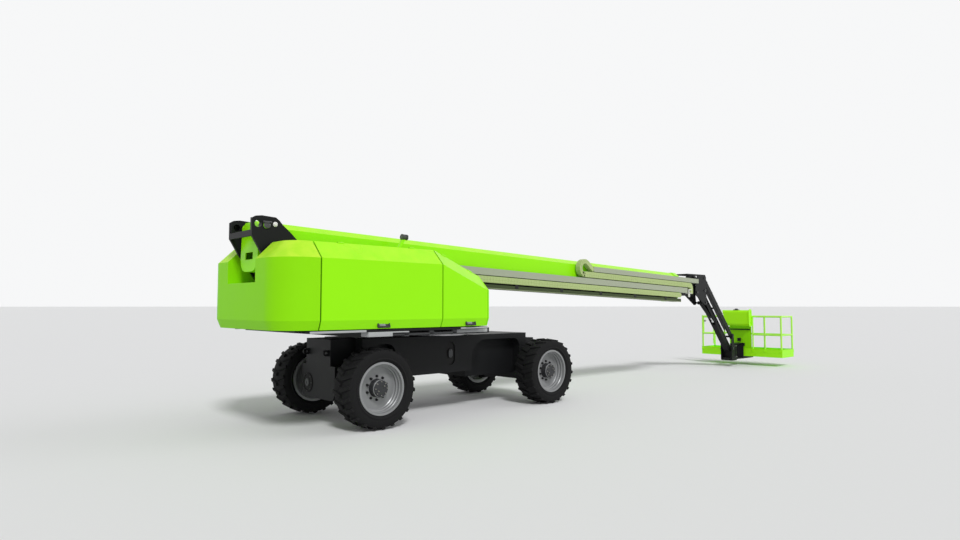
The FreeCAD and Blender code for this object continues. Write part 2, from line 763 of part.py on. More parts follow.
def cover_top_panel(side):
    """The fixed top beside the boom, its inner wall down to the deck, and the closed front end."""
    edge = cover_half_width - (cover_top - cover_shoulder) - seam_half
    low = cover_top - cover_front_drop
    t = cover_sheet
    top_level = box(weight_front_x, cover_split_x, slot_half_width, edge, cover_top - t, cover_top)
    top_slope = plate_y([(cover_split_x, cover_top - t), (cover_split_x, cover_top), (cover_front_x, low),
                         (cover_front_x, low - t)], slot_half_width, edge)
    wall = plate_y([(weight_front_x, tray_top), (weight_front_x, cover_top), (cover_split_x, cover_top),
                    (cover_front_x, low), (cover_front_x, tray_top)], slot_half_width, slot_half_width + t)
    end_panel = box(cover_front_x - t, cover_front_x, slot_half_width, edge, tray_top, low)
    end_wing = plate_x([(edge, tray_top), (cover_half_width - cover_flare, cover_bottom),
                        (cover_half_width, cover_knee), (cover_half_width, cover_shoulder - cover_front_drop),
                        (edge, low)], cover_front_x - t, cover_front_x)
    barrels = hinge_barrels("middle", hinge_radius, 0) + hinge_barrels("front", hinge_radius, 0)
    lugs = []
    for share in hinge_shares:
        for span in ("middle", "front"):
            start, end = hinge_line(span)
            middle = start + (end - start) * share
            lugs.append(box(middle.x - 30, middle.x + 30, edge - 20, edge + seam_half, middle.z - 12,
                            middle.z - 2))
    panel = fused(top_level, top_slope, wall, end_panel, end_wing, *(barrels + lugs))
    return panel if side > 0 else mirror_y(panel)


def engine_block():
    """The engine and pump as one plain mass behind the right-hand covers."""
    return box(weight_front_x + engine_rear_gap, cover_split_x - engine_front_gap,
               -cover_half_width + block_side_gap, -slot_half_width - block_slot_gap, tray_top,
               tray_top + engine_height)


def tank_block():
    """Fuel and oil tanks as one plain mass behind the left-hand covers."""
    return box(weight_front_x + tank_rear_gap, cover_split_x - tank_front_gap,
               slot_half_width + block_slot_gap, cover_half_width - block_side_gap, tray_top,
               tray_top + tank_height)


def work_lamp():
    """A rear-facing lamp held over the right-hand cover top by a leaning bracket."""
    y = -slot_half_width - 60
    z = cover_top + lamp_height
    foot = lamp_x - lamp_foot_back
    half = lamp_bracket_width / 2
    bracket = plate_y([(foot - lamp_foot_half, cover_top), (foot + lamp_foot_half, cover_top),
                       (foot + lamp_foot_half, cover_top + 8), (foot + 30, cover_top + 30), (lamp_x + 10, z - 30),
                       (lamp_x + 10, z), (lamp_x - 30, z), (foot - 10, cover_top + 30),
                       (foot - lamp_foot_half, cover_top + 8)], y - half, y + half)
    head = bar_between(V(lamp_x - lamp_half_length, y, z), V(lamp_x + lamp_half_length, y, z), lamp_radius)
    return fused(bracket, head)


# --- boom ---------------------------------------------------------------------------------------------
def section_size(level):
    """Half width and depth of boom section number level, 0 being the base."""
    step = (boom_wall + boom_nest_gap) * level
    return boom_half_width - step, boom_depth - 2 * step


def section_outline(half, top, depth, x):
    """Boom section outline: bevelled top corners, upright sides and bottom corners folded in three flats."""
    low = top - depth
    radius = half - boom_floor_half
    right = [(half - boom_bevel_width, top), (half, top - boom_bevel_height)]
    for step in range(4):
        a = math.radians(-30 * step)
        right.append((boom_floor_half + radius * math.cos(a), low + radius + radius * math.sin(a)))
    points = right + [(-y, z) for y, z in reversed(right)]
    return closed_wire([V(x, y, z) for y, z in points])


def section_top(level):
    return boom_pivot_z + boom_over_pivot - (boom_wall + boom_nest_gap) * level


def boom_tube(level, x0, x1):
    """A hollow boom section on a level boom."""
    half, depth = section_size(level)
    top = section_top(level)
    outer = Part.Face(section_outline(half, top, depth, x0)).extrude(V(x1 - x0, 0, 0))
    inner = Part.Face(section_outline(half - boom_wall, top - boom_wall, depth - 2 * boom_wall, x0 - 1))
    return outer.cut(inner.extrude(V(x1 - x0 + 2, 0, 0)))


def section_span(level):
    front = boom_pivot_x + boom_length + section_step * level
    rear = boom_pivot_x - boom_tail if level == 0 else boom_pivot_x + 300 + section_rear_step * level
    return rear, front


def slide_pads(level):
    """Wear pads at the mouth of a section, a sliding fit on the next section inwards."""
    half, depth = section_size(level)
    front = section_span(level)[1]
    top = section_top(level) - boom_wall
    low = section_top(level) - depth + boom_wall
    corner = section_top(level) - depth + half - boom_floor_half
    bevel = top - boom_bevel_height
    gap = boom_nest_gap - fit_gap
    x0 = front - wear_pad_length - 20
    x1 = front - 20
    tall = wear_pad_height
    pads = []
    for side in (1, -1):
        wall = side * (half - boom_wall)
        for z0 in (corner, bevel - tall * 1.5):
            pads.append(box(x0, x1, wall, wall - side * gap, z0, z0 + tall))
    pads.append(box(x0, x1, -tall / 2, tall / 2, top - gap, top))
    pads.append(box(x0, x1, -tall / 2, tall / 2, low, low + gap))
    return pads


def boom_base():
    """Base section with its pivot boss, closed tail, wear pads and the lugs for the lift cylinder."""
    rear, front = section_span(0)
    tube = boom_tube(0, rear, front)
    boss = bar_y(boom_pivot_x, boom_pivot_z, boom_boss_radius, -boom_half_width, boom_half_width)
    half, depth = section_size(0)
    cap = Part.Face(section_outline(half, section_top(0), depth, rear)).extrude(V(tail_plate, 0, 0))
    cap = cap.cut(box(rear - 5, rear + tail_plate + 5, -tail_hole_half_width, tail_hole_half_width,
                      boom_pivot_z - tail_hole_below - tail_hole_half_height,
                      boom_pivot_z - tail_hole_below + tail_hole_half_height))
    pin_end = cheek_inner_y + cheek_thickness + 15
    pin = bar_y(boom_pivot_x, boom_pivot_z, boom_pin_radius, -pin_end, pin_end)
    inside = Part.Face(section_outline(half - boom_wall, section_top(0) - boom_wall, depth - 2 * boom_wall,
                                       rear + tail_plate))
    hollow = inside.extrude(V(front, 0, 0))
    body = fused(tube, cap, front_collar(), *[lug.cut(hollow) for lug in lift_lugs()])
    body = fused(body, boss, pin)
    body = fused(body, *slide_pads(0))
    return drooped(body)


def lift_lugs():
    """The two lugs under the boom that the lift cylinder's rod eye stands between."""
    eye_x = boom_pivot_x + lift_eye_along
    eye_z = boom_pivot_z - lift_eye_below
    underside = section_top(0) - boom_depth
    lugs = []
    for side in (1, -1):
        y0 = side * (lift_rod_radius + lift_eye_play + move_gap)
        y1 = y0 + side * lift_lug_thickness
        blade = plate_y([(eye_x - 230, underside + 70), (eye_x + 230, underside + 70),
                         (eye_x + 85, eye_z - 80), (eye_x - 85, eye_z - 80)], y0, y1)
        lugs.append(blade)
        lugs.append(bar_y(eye_x, eye_z, 55, y0, y1 + side * 18))
    return lugs


def front_collar():
    """The thicker band round the mouth of the base section."""
    half, depth = section_size(0)
    front = section_span(0)[1]
    top = section_top(0)
    c = collar_thickness
    outer = Part.Face(section_outline(half + c, top + c, depth + 2 * c, front - collar_length))
    inner = Part.Face(section_outline(half - 2, top - 2, depth - 4, front - collar_length - 1))
    return outer.extrude(V(collar_length, 0, 0)).cut(inner.extrude(V(collar_length + 2, 0, 0)))


def boom_section(level):
    """An inner section of the boom with its wear pads."""
    rear, front = section_span(level)
    tube = boom_tube(level, rear, front)
    return drooped(fused(tube, *slide_pads(level)))


def boom_tip():
    """Innermost section ending in the fork that carries the jib's head."""
    rear, front = section_span(3)
    tube = boom_tube(3, rear, front)
    half, depth = section_size(3)
    top = section_top(3)
    plug = Part.Face(section_outline(half, top, depth, front - 30)).extrude(V(30, 0, 0))
    parts = [drooped(fused(tube, plug))]
    lx = jib_level_x
    lz = jib_level_z
    for side in (1, -1):
        fork = plate_y([(front - 60, lz + 300), (lx - 60, lz + 330), (lx + 75, lz + 60), (lx + 75, lz - 40),
                        (lx + 20, lz - 80), (front - 60, lz - 110)], side * fork_inner_y,
                       side * fork_outer_y)
        parts.append(fork)
    hub = bar_y(lx, lz, 60, -fork_outer_y, fork_outer_y)
    pin_end = jib_cheek_inner + jib_cheek_thickness + 12
    pin = bar_y(lx, lz, jib_pin_radius, -pin_end, pin_end)
    return fused(*(parts + [hub, pin]))


# --- hose carriers ------------------------------------------------------------------------------------
def run_box(depths, x0, x1, inset):
    """A straight run beside the boom, between two depths below the line of the boom's top face."""
    top = section_top(0)
    return box(x0, x1, -rail_inner_y - inset, -rail_inner_y - run_width + inset, top - depths[1] + inset,
               top - depths[0] - inset)


def hose_rails():
    """Two straight hollow rails and the brackets that hold them and the runs off the boom's side."""
    top = section_top(0)
    upper_end = base_front_x + upper_rail_past
    lower_end = base_front_x + lower_rail_past
    upper = run_box(upper_rail_depth, upper_rail_start, upper_end, 0)
    upper = upper.cut(run_box(upper_rail_depth, upper_rail_start - 1, upper_end + 1, rail_sheet))
    lower = run_box(lower_rail_depth, run_start, lower_end, 0)
    lower = lower.cut(run_box(lower_rail_depth, run_start - 1, lower_end + 1, rail_sheet))
    reach = top - lower_chain_depth[1]
    tall_step = (base_front_x - 250 - upper_rail_start - 120) / 5
    brackets = [box(x, x + bracket_length, -boom_half_width, -rail_inner_y, reach, top - upper_rail_depth[0])
                for x in [upper_rail_start + 120 + tall_step * i for i in range(6)]]
    low_step = (upper_rail_start - run_start - 300) / 6
    brackets += [box(x, x + bracket_length, -boom_half_width, -rail_inner_y, reach, top - lower_rail_depth[0])
                 for x in [run_start + 200 + low_step * i for i in range(6)]]
    return drooped(fused(upper, lower, *brackets))


def chain_run(depths, x0, x1):
    """A straight run of hose chain."""
    top = section_top(0)
    return box(x0, x1, -rail_inner_y - fit_gap, -rail_inner_y - run_width, top - depths[1], top - depths[0])


def bend(centre_x, centre_z, inner, outer, start, end):
    """Part of a ring in the side view, from one angle to another, laid in short straight links."""
    count = max(3, round(abs(end - start) / 24))
    angles = [math.radians(start + (end - start) * i / count) for i in range(count + 1)]
    rim = [(centre_x + outer * math.cos(a), centre_z + outer * math.sin(a)) for a in angles]
    back = [(centre_x + inner * math.cos(a), centre_z + inner * math.sin(a)) for a in reversed(angles)]
    return plate_y(rim + back, -rail_inner_y - fit_gap, -rail_inner_y - run_width)


def upper_chain():
    """The upper run: a return loop at its rear that comes out of the rail, and a bend down at its front."""
    top = section_top(0)
    loop_x = upper_rail_start - loop_behind
    loop_z = top - upper_chain_depth[1] + loop_outer
    front = base_front_x + upper_chain_past
    straight = chain_run(upper_chain_depth, loop_x, front)
    loop = bend(loop_x, loop_z, loop_inner, loop_outer, 270, loop_end_angle)
    a = math.radians(loop_end_angle)
    leave = V(math.sin(a), 0, -math.cos(a)) * 255
    y = -rail_inner_y - fit_gap
    near = V(loop_x + loop_inner * math.cos(a), y, loop_z + loop_inner * math.sin(a))
    far = V(loop_x + loop_outer * math.cos(a), y, loop_z + loop_outer * math.sin(a))
    slope = Part.Face(closed_wire([near, far, far + leave, near + leave]))
    slope = slope.extrude(V(0, -run_width + fit_gap, 0))
    end = upper_rail_start - 8
    slope = slope.common(box(loop_x - 500, end, -boom_half_width, -boom_half_width - 300, loop_z - 500,
                             loop_z + 500))
    turn_outer = upper_chain_depth[1] - upper_chain_depth[0] + turn_inner
    turn_z = top - upper_chain_depth[0] - turn_outer
    turn = bend(front, turn_z, turn_inner, turn_outer, 0, 90)
    drop = box(front + turn_inner, front + turn_outer, y, y - run_width + fit_gap, turn_z - turn_drop, turn_z)
    return drooped(fused(straight, loop, slope, turn, drop))


def lower_chain():
    """The lower run, rounded off at its front end."""
    front = base_front_x - lower_chain_short
    straight = chain_run(lower_chain_depth, run_start, front)
    radius = (lower_chain_depth[1] - lower_chain_depth[0]) / 2
    nose = bar_y(front, section_top(0) - lower_chain_depth[0] - radius, radius, -rail_inner_y - fit_gap,
                 -rail_inner_y - run_width)
    return drooped(fused(straight, nose))


# --- lift cylinder ------------------------------------------------------------------------------------
def lift_points():
    base = V(lift_base_x, 0, lift_base_z)
    eye = V(boom_pivot_x + lift_eye_along, 0, boom_pivot_z - lift_eye_below)
    turn = FreeCAD.Rotation(Y_AXIS, boom_droop)
    eye = boom_pivot + turn.multVec(eye - boom_pivot)
    return base, eye


def lift_barrel():
    """Barrel with its base eye and pin."""
    base, eye = lift_points()
    along = (eye - base).normalize()
    length = (eye - base).Length
    barrel = bar_between(base + along * 60, base + along * (length - lift_gland), lift_barrel_radius)
    boss = bar_y(base.x, base.z, lift_eye_radius, -150, 150)
    pin = bar_y(base.x, base.z, lift_pin_radius, -cheek_inner_y - cheek_thickness - 10,
                cheek_inner_y + cheek_thickness + 10)
    bushes = bar_y(base.x, base.z, 70, -cheek_inner_y + 2, cheek_inner_y - 2)
    body = fused(barrel, boss, bushes, pin)
    bore = bar_between(base + along * 200, eye, lift_rod_radius + fit_gap)
    return body.cut(bore)


def lift_rod():
    """Rod with its eye, which stands between the lugs under the boom."""
    base, eye = lift_points()
    along = (eye - base).normalize()
    rod = bar_between(base + along * 230, eye - along * 60, lift_rod_radius)
    eye_half = lift_rod_radius + lift_eye_play
    boss = bar_y(eye.x, eye.z, 80, -eye_half, eye_half)
    return fused(rod, boss)


# --- jib ----------------------------------------------------------------------------------------------
def jib_head():
    """Two cheeks on the boom's tip that carry the jib's four pivots and stay level."""
    px = jib_pivot_x
    pz = jib_pivot_z
    lx = jib_level_x
    lz = jib_level_z
    top = pz + jib_pivot_rise + 95
    base = jib_cylinder_base()
    parts = []
    for side in (1, -1):
        y0 = side * jib_cheek_inner
        y1 = side * (jib_cheek_inner + jib_cheek_thickness)
        cheek_plate = plate_y([(lx - 90, lz - 60), (lx - 90, lz + 90), (px - 380, top - 40),
                               (px - head_arm_reach, top - 40), (px - head_arm_reach, top), (px + 30, top),
                               (px + 85, top - 65), (px + 85, pz - 100),
                               (base.x + 65, base.z - 10), (base.x + 30, base.z - 60),
                               (base.x - 40, base.z - 60)], y0, y1)
        cheek_plate = cheek_plate.cut(bar_y(lx, lz, jib_pin_radius + fit_gap, y0 * 0.9, y1 * 1.1))
        parts.append(cheek_plate)
    pin_end = jib_cheek_inner + 30
    for x, z, r in ((px, pz, jib_pin_radius), (px, pz + jib_pivot_rise, upper_pin_radius),
                    (base.x, base.z, jib_base_pin_radius)):
        parts.append(bar_y(x, z, r, -pin_end, pin_end))
    for x in (px - 300, px - head_arm_reach + 5):
        parts.append(box(x, x + 30, -jib_cheek_inner, jib_cheek_inner, top - 38, top - 2))
    return fused(*parts)


def link(start, end, half_depth, y0, y1, pin_radius):
    """A flat-sided link with round ends and a bore for a pin at each."""
    run = end - start
    along = V(run.x, 0, run.z).normalize()
    across = V(-along.z, 0, along.x) * half_depth
    corners = [start + across, end + across, end - across, start - across]
    face = Part.Face(closed_wire([V(p.x, y0, p.z) for p in corners]))
    body = face.extrude(V(0, y1 - y0, 0))
    ends = [bar_y(p.x, p.z, half_depth, y0, y1) for p in (start, end)]
    body = fused(body, *ends)
    for p in (start, end):
        body = body.cut(bar_y(p.x, p.z, pin_radius + fit_gap, y0 - abs(y0) - 1, y1 + abs(y1) + 1))
    return body


def jib_arm():
    """The main lower link of the jib, open underneath where its cylinder lies inside it."""
    arm = link(jib_pivot, jib_end, jib_arm_half_depth, -jib_arm_half_width, jib_arm_half_width,
               jib_pin_radius)
    eye = jib_eye()
    along = V(jib_reach.x, 0, jib_reach.z).normalize()
    down = V(along.z, 0, -along.x)
    inside = jib_arm_half_width - jib_arm_wall
    roof = -jib_arm_half_depth + jib_arm_wall
    start = jib_pivot + along * 160
    end = eye + along * 90
    end = end - down * jib_eye_below
    room_corners = [start + down * roof, end + down * roof, end + down * 120, start + down * 120]
    room = Part.Face(closed_wire([V(p.x, -inside, p.z) for p in room_corners]))
    arm = arm.cut(room.extrude(V(0, 2 * inside, 0)))
    bosses = []
    for side in (1, -1):
        bosses.append(bar_y(eye.x, eye.z, 38, side * (jib_eye_half + move_gap),
                            side * (jib_arm_half_width + jib_arm_wall)))
    return fused(arm, *bosses)


def jib_links():
    """The two upper links, one each side of the arm."""
    gap = 6
    outer = jib_cheek_inner - gap
    inner = outer - jib_link_width
    pieces = []
    for side in (1, -1):
        y0, y1 = sorted((side * inner, side * outer))
        pieces.append(link(jib_pivot + jib_rise, jib_end + jib_rise, jib_link_half_depth, y0, y1,
                           upper_pin_radius))
    spreader_at = jib_pivot + jib_rise + jib_reach * 0.5
    spreader = bar_y(spreader_at.x, spreader_at.z, 22, -inner, inner)
    return fused(pieces[0], pieces[1], spreader)


def jib_eye():
    """Pivot of the jib cylinder's rod under the arm."""
    along = V(jib_reach.x, 0, jib_reach.z).normalize()
    down = V(along.z, 0, -along.x)
    return jib_pivot + along * jib_eye_along + down * jib_eye_below


def jib_cylinder_base():
    """Pivot of the jib cylinder's barrel at the foot of the head's cheeks."""
    return V(jib_pivot_x + jib_base_ahead, 0, jib_pivot_z - jib_base_below)


def jib_barrel():
    """Barrel of the jib cylinder with its eye on the head's pin."""
    base = jib_cylinder_base()
    eye = jib_eye()
    along = (eye - base).normalize()
    length = (eye - base).Length
    barrel = bar_between(base + along * 30, base + along * (length - 200), jib_barrel_radius)
    boss = bar_y(base.x, base.z, 48, -60, 60)
    body = fused(barrel, boss)
    body = body.cut(bar_y(base.x, base.z, jib_base_pin_radius + fit_gap, -100, 100))
    return body.cut(bar_between(base + along * 70, eye, jib_rod_radius + fit_gap))


def jib_rod():
    """Rod of the jib cylinder with its eye, which stands between the bosses inside the arm."""
    base = jib_cylinder_base()
    eye = jib_eye()
    along = (eye - base).normalize()
    rod = bar_between(base + along * 90, eye - along * 20, jib_rod_radius)
    boss = bar_y(eye.x, eye.z, 36, -jib_eye_half, jib_eye_half)
    return fused(rod, boss)


def platform_bracket():
    """The level bracket at the jib's foot and the rotary actuator it holds."""
    lx = jib_end.x
    lz = jib_end.z
    uz = lz + jib_pivot_rise
    low = lz - bracket_drop
    inner = jib_cheek_inner
    parts = []
    for side in (1, -1):
        y0 = side * inner
        y1 = side * (inner + bracket_plate)
        parts.append(plate_y([(lx - 55, low + 40), (lx - 55, uz + 50), (lx - 15, uz + 85), (lx + 40, uz + 85),
                              (lx + 70, uz + 50), (lx + 112, lz), (lx + 112, low), (lx - 15, low)], y0, y1))
    for z, r in ((lz, jib_pin_radius), (uz, upper_pin_radius)):
        parts.append(bar_y(lx, z, r, -inner - 30, inner + 30))
    parts.append(box(lx - 15, rotator_x - rotator_radius - 15, -inner, inner, low, low + 80))
    parts.append(box(lx + 90, lx + 112, -inner, inner, low, lz + 60))
    parts.append(box(lx + 100, rotator_x, -60, 60, rotator_bottom + 30, rotator_top - 30))
    parts.append(bar_z(rotator_x, 0, rotator_radius, rotator_bottom, rotator_top))
    return fused(*parts)


# --- platform -----------------------------------------------------------------------------------------
def platform_mount():
    """The carrier that grips the actuator above and below and runs under the floor."""
    x0 = rotator_x
    x1 = platform_rear_x - 20
    half = rotator_radius - 6
    parts = []
    for z0, z1 in ((rotator_top + fit_gap, rotator_top + mount_plate),
                   (rotator_bottom - mount_plate, rotator_bottom - fit_gap)):
        parts.append(box(x0, x1, -half, half, z0, z1))
        parts.append(bar_z(x0, 0, half, z0, z1))
    parts.append(box(x1 - 40, x1, -110, 110, rotator_bottom - mount_plate, rotator_top + mount_plate))
    parts.append(box(x1 - 40, platform_front_x - 150, -90, 90, platform_floor_z - 75, platform_floor_z))
    return fused(*parts)


def platform_floor():
    """Floor tray with an upright toe board all round."""
    hx0 = platform_rear_x
    hx1 = platform_front_x
    hy = platform_half_width
    tray = box(hx0, hx1, -hy, hy, platform_floor_z, toe_board_top)
    t = toe_board_sheet
    room = box(hx0 + t, hx1 - t, -hy + t, hy - t, platform_floor_z + floor_thickness, toe_board_top + 1)
    return tray.cut(room)


def rail_bar(x0, y0, x1, y1, z):
    return bar_between(V(x0, y0, z), V(x1, y1, z), rail_radius)


def platform_rails():
    """Guard rails: corner and side posts, mid rail and top rail, open at the left end for the gate."""
    x0 = platform_rear_x + corner_post_radius
    x1 = platform_front_x - corner_post_radius
    y1 = platform_half_width - corner_post_radius
    left_bay = console_left_y + post_radius + fit_gap
    right_bay = console_right_y - end_plate_thickness - post_radius - fit_gap
    posts = [(x0, left_bay), (x0, right_bay), (x0, side_post_y), (x1, front_post_y), (x1, -front_post_y)]
    parts = [bar_z(x, y, post_radius, toe_board_top, top_rail_z) for x, y in posts]
    for x, y in ((x0, y1), (x0, -y1), (x1, y1), (x1, -y1)):
        parts.append(bar_z(x, y, corner_post_radius, toe_board_top, top_rail_z + rail_radius + 2))
    for z in (mid_rail_z, top_rail_z):
        parts.append(rail_bar(x0, y1, x0, left_bay - post_radius, z))
        parts.append(rail_bar(x0, right_bay + post_radius, x0, -y1, z))
        parts.append(rail_bar(x1, y1, x1, -y1, z))
        parts.append(rail_bar(x0, -y1, x1, -y1, z))
    for z in (gate_bottom + 100, gate_top - 100):
        arm = box(gate_hinge_x, x1, y1 - 8, y1 + 8, z - 20, z + 20)
        ring = bar_z(gate_hinge_x, y1, post_radius + 9, z - 20, z + 20)
        eye = fused(arm, ring).cut(bar_z(gate_hinge_x, y1, post_radius + fit_gap, z - 30, z + 30))
        parts.append(eye)
    return fused(*parts)


def platform_console():
    """The rounded console housing over the rear rail: hollow, open below, with an end plate on its right."""
    x0 = platform_rear_x - console_overhang
    x1 = x0 + console_depth
    right = console_right_y
    radius = console_depth * 0.42
    hood = box(x0, x1, right, console_left_y, console_bottom, console_top)
    hood = round_edges(hood, radius, runs_along(Y_AXIS))
    t = console_sheet
    room = box(x0 + t, x1 - t, right + t, console_left_y - t, console_bottom - 50, console_top - t)
    upper = [e for e in room.Edges if runs_along(Y_AXIS)(e) and e.CenterOfMass.z > console_top - t - 1]
    hood = hood.cut(room.makeFillet(radius - t, upper))
    past = console_left_y + 10
    foot = V(0, console_left_y - console_slant, console_bottom)
    lean = plate_x([(console_left_y, console_top), (past, console_top), (past, foot.z - 10),
                    (foot.y, foot.z - 10), (foot.y, foot.z)], x0 - 10, x1 + 10)
    hood = hood.cut(lean)
    head = V(0, console_left_y, console_top)
    end_wall = plate_x([(foot.y, foot.z), (head.y, head.z), (head.y - t, head.z), (foot.y - t, foot.z)],
                       x0, x1)
    whole = box(x0, x1, right, console_left_y, console_bottom, console_top)
    whole = round_edges(whole, radius, runs_along(Y_AXIS))
    end_wall = end_wall.common(whole)
    plate_top = console_top + 30
    plate_low = console_bottom - 20
    end_plate = box(x0 - 12, x1 + 12, right - end_plate_thickness, right, plate_low, plate_top)
    end_plate = round_edges(end_plate, console_depth * 0.5, runs_along(Y_AXIS))
    middle = (x0 + x1) / 2
    for z in (plate_top - 105, plate_low + 105):
        end_plate = end_plate.cut(bar_y(middle, z, console_hole_radius, right - 50, right + 50))
    return fused(hood, end_wall, end_plate)


def platform_panel():
    """The closed bay below the console, lapped behind the toe board."""
    x = platform_rear_x + toe_board_sheet
    return box(x, x + console_sheet, console_right_y, console_left_y - console_slant, toe_board_top - 40,
               console_bottom)


def platform_gate():
    """Entry gate in the left-hand end, turning inwards on its front stile."""
    y = gate_y
    x0 = platform_rear_x + 2 * corner_post_radius + move_gap + post_radius
    bars = [rail_bar(x0, y, gate_hinge_x, y, z) for z in (mid_rail_z, gate_top)]
    latch_stile = bar_z(x0, y, post_radius, mid_rail_z, gate_top)
    hinge_stile = bar_z(gate_hinge_x, y, post_radius, gate_bottom - 40, gate_top + 22)
    return fused(*(bars + [latch_stile, hinge_stile]))


# --- build --------------------------------------------------------------------------------------------
os.makedirs("parts", exist_ok=True)

save("chassis_frame", chassis_frame())
save("axle_boxes", axle_box(1), axle_box(-1))
save("slew_ring", slew_ring())
corners = {"fl": (1, 1), "fr": (1, -1), "rl": (-1, 1), "rr": (-1, -1)}
for tag, (end, side) in corners.items():
    save("axle_beam_" + tag, axle_beam(end, side))
    save("knuckle_" + tag, knuckle(end, side))
    save("rim_" + tag, rim(end, side))
    save("tyre_" + tag, tyre(end, side))
save("turntable_frame", turntable_frame())
save("counterweight", counterweight())
save("cover_tops", cover_top_panel(1), cover_top_panel(-1))
for tag, side in (("left", 1), ("right", -1)):
    save("side_cover_" + tag, side_cover("middle", side))
    save("front_cover_" + tag, side_cover("front", side))
save("engine_block", engine_block())
save("tank_block", tank_block())
save("work_lamp", work_lamp())
save("boom_base", boom_base())
save("hose_rails", hose_rails())
save("hose_chains", upper_chain(), lower_chain())
save("boom_mid_1", boom_section(1))
save("boom_mid_2", boom_section(2))
save("boom_tip", boom_tip())
save("lift_barrel", lift_barrel())
save("lift_rod", lift_rod())
save("jib_head", jib_head())
save("jib_arm", jib_arm())
save("jib_links", jib_links())
save("jib_barrel", jib_barrel())
save("jib_rod", jib_rod())
save("platform_bracket", platform_bracket())
save("platform_mount", platform_mount())
save("platform_floor", platform_floor())
save("platform_rails", platform_rails())
save("platform_console", platform_console())
save("platform_panel", platform_panel())
save("platform_gate", platform_gate())
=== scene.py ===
import math
import bmesh
import bpy
from mathutils import Matrix, Vector


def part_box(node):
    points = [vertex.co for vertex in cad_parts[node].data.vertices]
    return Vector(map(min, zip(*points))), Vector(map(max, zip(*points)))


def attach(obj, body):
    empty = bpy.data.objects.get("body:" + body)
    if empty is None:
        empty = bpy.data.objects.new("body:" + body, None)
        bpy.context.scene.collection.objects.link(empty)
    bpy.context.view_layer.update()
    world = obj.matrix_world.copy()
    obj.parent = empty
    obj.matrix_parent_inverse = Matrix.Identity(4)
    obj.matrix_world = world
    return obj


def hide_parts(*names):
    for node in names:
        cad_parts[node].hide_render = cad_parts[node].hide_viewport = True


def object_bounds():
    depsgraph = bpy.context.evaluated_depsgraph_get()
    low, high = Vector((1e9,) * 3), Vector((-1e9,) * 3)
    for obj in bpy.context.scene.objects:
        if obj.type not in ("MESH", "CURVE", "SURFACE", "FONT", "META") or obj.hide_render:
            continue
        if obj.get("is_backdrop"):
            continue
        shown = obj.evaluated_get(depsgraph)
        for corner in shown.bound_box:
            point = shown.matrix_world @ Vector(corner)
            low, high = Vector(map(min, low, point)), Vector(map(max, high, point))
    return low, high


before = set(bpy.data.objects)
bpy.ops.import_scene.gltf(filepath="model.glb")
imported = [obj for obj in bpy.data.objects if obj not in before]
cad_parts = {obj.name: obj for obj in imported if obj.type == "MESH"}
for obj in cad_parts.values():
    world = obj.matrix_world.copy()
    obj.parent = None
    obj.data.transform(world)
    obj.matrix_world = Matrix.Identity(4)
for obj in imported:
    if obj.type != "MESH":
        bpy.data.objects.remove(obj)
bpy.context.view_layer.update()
bpy.ops.object.select_all(action="DESELECT")


# --- Camera ---------------------------------------------------------------------------------------------
# A wide lens close to the rear right-hand corner, at head height, looking along the boom. It sees past
# the floor's far edge.
camera_data = bpy.data.cameras.new("camera")
camera_data.sensor_width = 36.0
camera_data.lens = 23.93
camera_data.clip_end = 3000.0
camera = bpy.data.objects.new("camera", camera_data)
camera.location = (-11.597, -8.727, 1.742)
camera.rotation_euler = (math.radians(90 + 3.233), 0, math.radians(46.989 - 90))
bpy.context.scene.collection.objects.link(camera)
bpy.context.scene.camera = camera
bpy.context.scene.view_settings.view_transform = "Standard"


# --- Studio ---------------------------------------------------------------------------------------------
# A pale sweep of floor, an even sky and two soft suns. None of it belongs to the machine. What the eye, a
# mirror and glass see of the sky is brighter than the light it gives.
def node(tree, kind, sockets, **settings):
    """A shader node, each of whose sockets takes a value, or a link where another node's output is given."""
    new = tree.nodes.new("ShaderNode" + kind)
    for name, value in settings.items():
        setattr(new, name, value)
    for socket, value in sockets.items():
        if isinstance(value, bpy.types.NodeSocket):
            tree.links.new(value, new.inputs[socket])
        else:
            new.inputs[socket].default_value = value
    return new


studio_world = bpy.data.worlds.new("studio_world")
studio_world.use_nodes = True
bpy.context.scene.world = studio_world
world_tree = studio_world.node_tree
sky = world_tree.nodes["Background"]
sky.inputs["Color"].default_value = (1.0, 1.0, 1.0, 1.0)
sky.inputs["Strength"].default_value = 0.42
backdrop = node(world_tree, "Background", {"Color": (0.93, 0.935, 0.94, 1.0), "Strength": 1.0})
rays = node(world_tree, "LightPath", {}).outputs
plain = rays["Is Camera Ray"]
for ray in ("Is Glossy Ray", "Is Transmission Ray"):
    plain = node(world_tree, "Math", {0: plain, 1: rays[ray]}, operation="MAXIMUM").outputs[0]
swap = node(world_tree, "MixShader", {"Fac": plain, 1: sky.outputs[0], 2: backdrop.outputs[0]})
world_tree.links.new(swap.outputs[0], world_tree.nodes["World Output"].inputs["Surface"])

bpy.ops.mesh.primitive_plane_add(size=4000, location=(0, 0, -0.002))
studio_floor = bpy.context.object
studio_floor.name = "studio_floor"
floor_finish = bpy.data.materials.new("studio_floor_finish")
floor_finish.use_nodes = True
floor_shader = floor_finish.node_tree.nodes["Principled BSDF"]
floor_shader.inputs["Base Color"].default_value = (0.80, 0.805, 0.81, 1.0)
floor_shader.inputs["Roughness"].default_value = 0.9
studio_floor.data.materials.append(floor_finish)
studio_floor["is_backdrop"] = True
for name, energy, spread, aim in (("key_sun", 1.8, 12, (45, 0, -24)), ("fill_sun", 0.4, 40, (62, 0, 60))):
    bpy.ops.object.light_add(type="SUN", rotation=[math.radians(a) for a in aim])
    bpy.context.object.name = name
    bpy.context.object.data.energy = energy
    bpy.context.object.data.angle = math.radians(spread)
bpy.ops.object.select_all(action="DESELECT")


